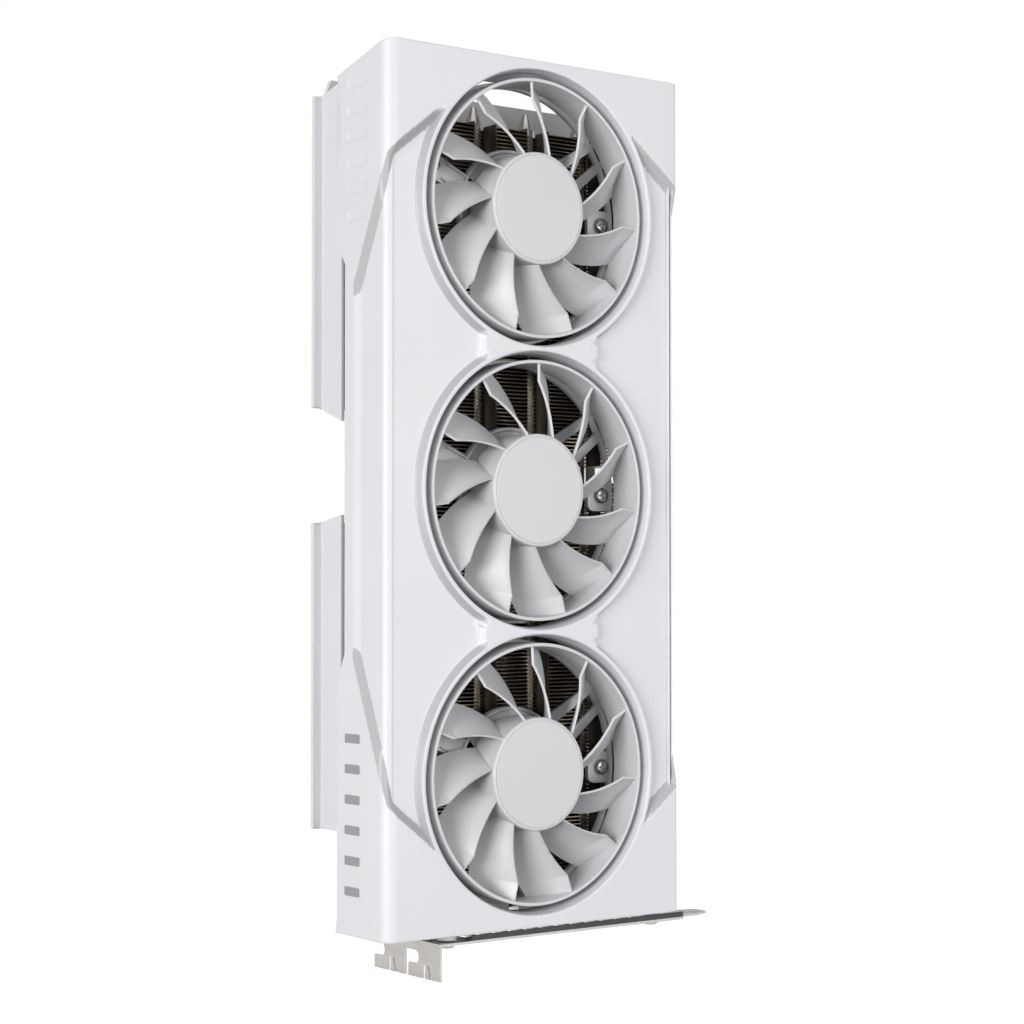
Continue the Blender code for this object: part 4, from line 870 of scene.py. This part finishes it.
for index in (1, 2, 3):
    build_frame(index)
    for number in (1, 2, 3):
        build_screw(f"fan_{index}_screw_{number}", f"fan_{index}_cross_screw_{number}", ("Y", -1), 2.7, 1.6,
                    (0.42, 1.7, 0.8))
for number in (1, 2, 3, 4):
    build_screw(f"backplate_screw_{number}", f"cover_cross_screw_{number}", ("Y", 1), 2.6, 0.7, (0.4, 1.5, 0.4))
for number in (1, 2):
    build_screw(f"bracket_screw_{number}", f"bracket_cross_screw_{number}", ("Z", -1), 2.6, 1.2, (0.4, 1.5, 0.7))

# ---------------------------------------------------------------- the bracket's dark strip: painted shade in the gap under the shroud and on the lip

strip = Shape()
# Two black sheets, one on the lip's face and one across the gap under the shroud, stand in for the shade there: painted
# shade.
strip.box((37.0, 4.72, -2.95), (128.4, 5.0, -1.1))
strip.box((37.0, 4.9, -2.6), (128.4, 9.5, -2.35))
bevel(make("bracket_gap_painted_shade", strip.points, strip.faces, BLACK), 0.08, 2)

# ---------------------------------------------------------------- rear cover

COVER_FRONT, COVER_BACK = 44.0, 45.6
COVER_TOP = 284.0


def build_cover():
    shape = Shape()
    step, left, right = 13.6, 3.1, WIDTH - 1.5
    outline = [(step, 0.6), (step + 0.6, 0.0), (right - 0.6, 0.0), (right, 0.6), (right, COVER_TOP - 0.6),
               (right - 0.6, COVER_TOP), (left + 3.4, COVER_TOP), (left + 1.2, LENGTH - FAR_SLANT * COVER_FRONT),
               (left, LENGTH - FAR_SLANT * COVER_FRONT), (left, 172.7), (step, 172.7), (step, 134.7),
               (left, 134.7), (left, 32.6), (step, 32.6)]
    holes = [rounded_box((15.0, 208.0 + 12.0 * i), (107.0, 215.0 + 12.0 * i), 1.2, 4) for i in range(5)]
    for node in (1, 2, 3, 4):
        low, high = design_box(f"backplate_screw_{node}")
        holes.append(circle((low.x + high.x) / 2, (low.z + high.z) / 2, 3.0, 32))
    plate(shape, outline, holes, COVER_FRONT, COVER_BACK, "Y")
    slant_top = LENGTH - FAR_SLANT * 31.6, LENGTH - FAR_SLANT * COVER_BACK
    for start, end in (((32.6, 32.6), (137.0, 134.5)), ((168.0, 173.0), slant_top)):
        wall = [(31.6, start[0]), (44.2, start[0] + (start[1] - start[0]) * 0.9),
                (44.2, end[0] + (end[1] - end[0]) * 0.9), (31.6, end[0])]
        plate(shape, wall, (), 3.1, 4.3, "X")
        lip = [(0.0, start[1]), (3.4, start[1]), (3.4, end[1]), (0.0, end[1])]
        plate(shape, lip, (), COVER_FRONT, COVER_BACK, "Y")
    thing = make("rear_cover", shape.points, shape.faces, PAINT, stands_for=("backplate",))
    bevel(fix_normals(thing), 0.25, 2)


build_cover()
#PIECES

# ---------------------------------------------------------------- floor, light and camera


def pale_floor():
    n = Nodes("pale_floor")
    cloud = n.noise(3.0, 3.0)
    n.link(n.blend(n.ramp(cloud, 0.0, 1.0), (0.93, 0.93, 0.93), (0.95, 0.95, 0.95)),
           n.shader.inputs["Base Color"])
    n.link(n.ramp(cloud, 0.8, 0.9), n.shader.inputs["Roughness"])
    n.shader.inputs["Emission Color"].default_value = (1.0, 1.0, 1.0, 1.0)
    n.shader.inputs["Emission Strength"].default_value = FLOOR_GLOW
    bpy.ops.mesh.primitive_plane_add(size=30.0, location=(0.0, 0.0, FLOOR_LEVEL))
    floor = bpy.context.object
    floor.name = "floor"
    floor.data.materials.append(n.material)
    floor.visible_diffuse = False


def area_light(name, place, target, size, power):
    light = bpy.data.lights.new(name, "AREA")
    light.shape = "RECTANGLE"
    light.size, light.size_y = size
    light.energy = power
    thing = bpy.data.objects.new(name, light)
    thing.location = place
    thing.rotation_euler = (Vector(target) - Vector(place)).to_track_quat("-Z", "Y").to_euler()
    bpy.context.scene.collection.objects.link(thing)


FLOOR_GLOW = 0.75
FLOOR_LEVEL = cad_bounds[0][2] - 0.0003 if isinstance(cad_bounds, (list, tuple)) else -0.006
CAMERA_PLACE = Vector((-0.4304, -0.6206, 0.1262))
CAMERA_AIM = Vector((0.596, 0.803, 0.028))
CARD_MIDDLE = Vector((0.03, 0.015, 0.14))

pale_floor()
area_light("key", (-1.5, -0.7, 0.24), CARD_MIDDLE, (0.8, 0.4), 21.0)
area_light("fill", (0.5, -1.6, 0.30), CARD_MIDDLE, (0.8, 0.4), 10.0)
area_light("top", (-0.3, -0.7, 1.4), CARD_MIDDLE, (0.8, 0.8), 1.5)

def studio_sky():
    """White behind the card; the light it gives is strongest from above and weakest from below."""
    sky = bpy.data.worlds.new("studio")
    sky.use_nodes = True
    tree = sky.node_tree
    background = tree.nodes["Background"]
    coords = tree.nodes.new("ShaderNodeTexCoord")
    split = tree.nodes.new("ShaderNodeSeparateXYZ")
    tree.links.new(coords.outputs["Generated"], split.inputs[0])
    ramp = tree.nodes.new("ShaderNodeValToRGB")
    tree.links.new(split.outputs["Z"], ramp.inputs["Fac"])
    height = tree.nodes.new("ShaderNodeMapRange")
    height.inputs["From Min"].default_value = -1.0
    tree.links.new(split.outputs["Z"], height.inputs["Value"])
    tree.links.new(height.outputs["Result"], ramp.inputs["Fac"])
    stops = ramp.color_ramp.elements
    for place, glow in SKY_STOPS:
        stop = stops[0] if place == 0.0 else stops[-1] if place == 1.0 else stops.new(place)
        stop.color = (glow, glow, glow, 1.0)
    path = tree.nodes.new("ShaderNodeLightPath")
    mix = tree.nodes.new("ShaderNodeMix")
    mix.data_type = "RGBA"
    tree.links.new(path.outputs["Is Camera Ray"], mix.inputs["Factor"])
    tree.links.new(ramp.outputs["Color"], mix.inputs["A"])
    mix.inputs["B"].default_value = (1.0, 1.0, 1.0, 1.0)
    tree.links.new(mix.outputs["Result"], background.inputs["Color"])
    bpy.context.scene.world = sky


SKY_STOPS = ((0.0, 0.06), (0.3, 0.16), (0.5, 1.25), (0.7, 0.3), (1.0, 0.2))
studio_sky()
bpy.context.scene.view_settings.view_transform = "Standard"

lens = bpy.data.cameras.new("camera")
lens.lens = 81.0
lens.sensor_width = 36.0
camera = bpy.data.objects.new("camera", lens)
camera.location = CAMERA_PLACE
camera.rotation_euler = CAMERA_AIM.to_track_quat("-Z", "Y").to_euler()
bpy.context.scene.collection.objects.link(camera)
bpy.context.scene.camera = camera
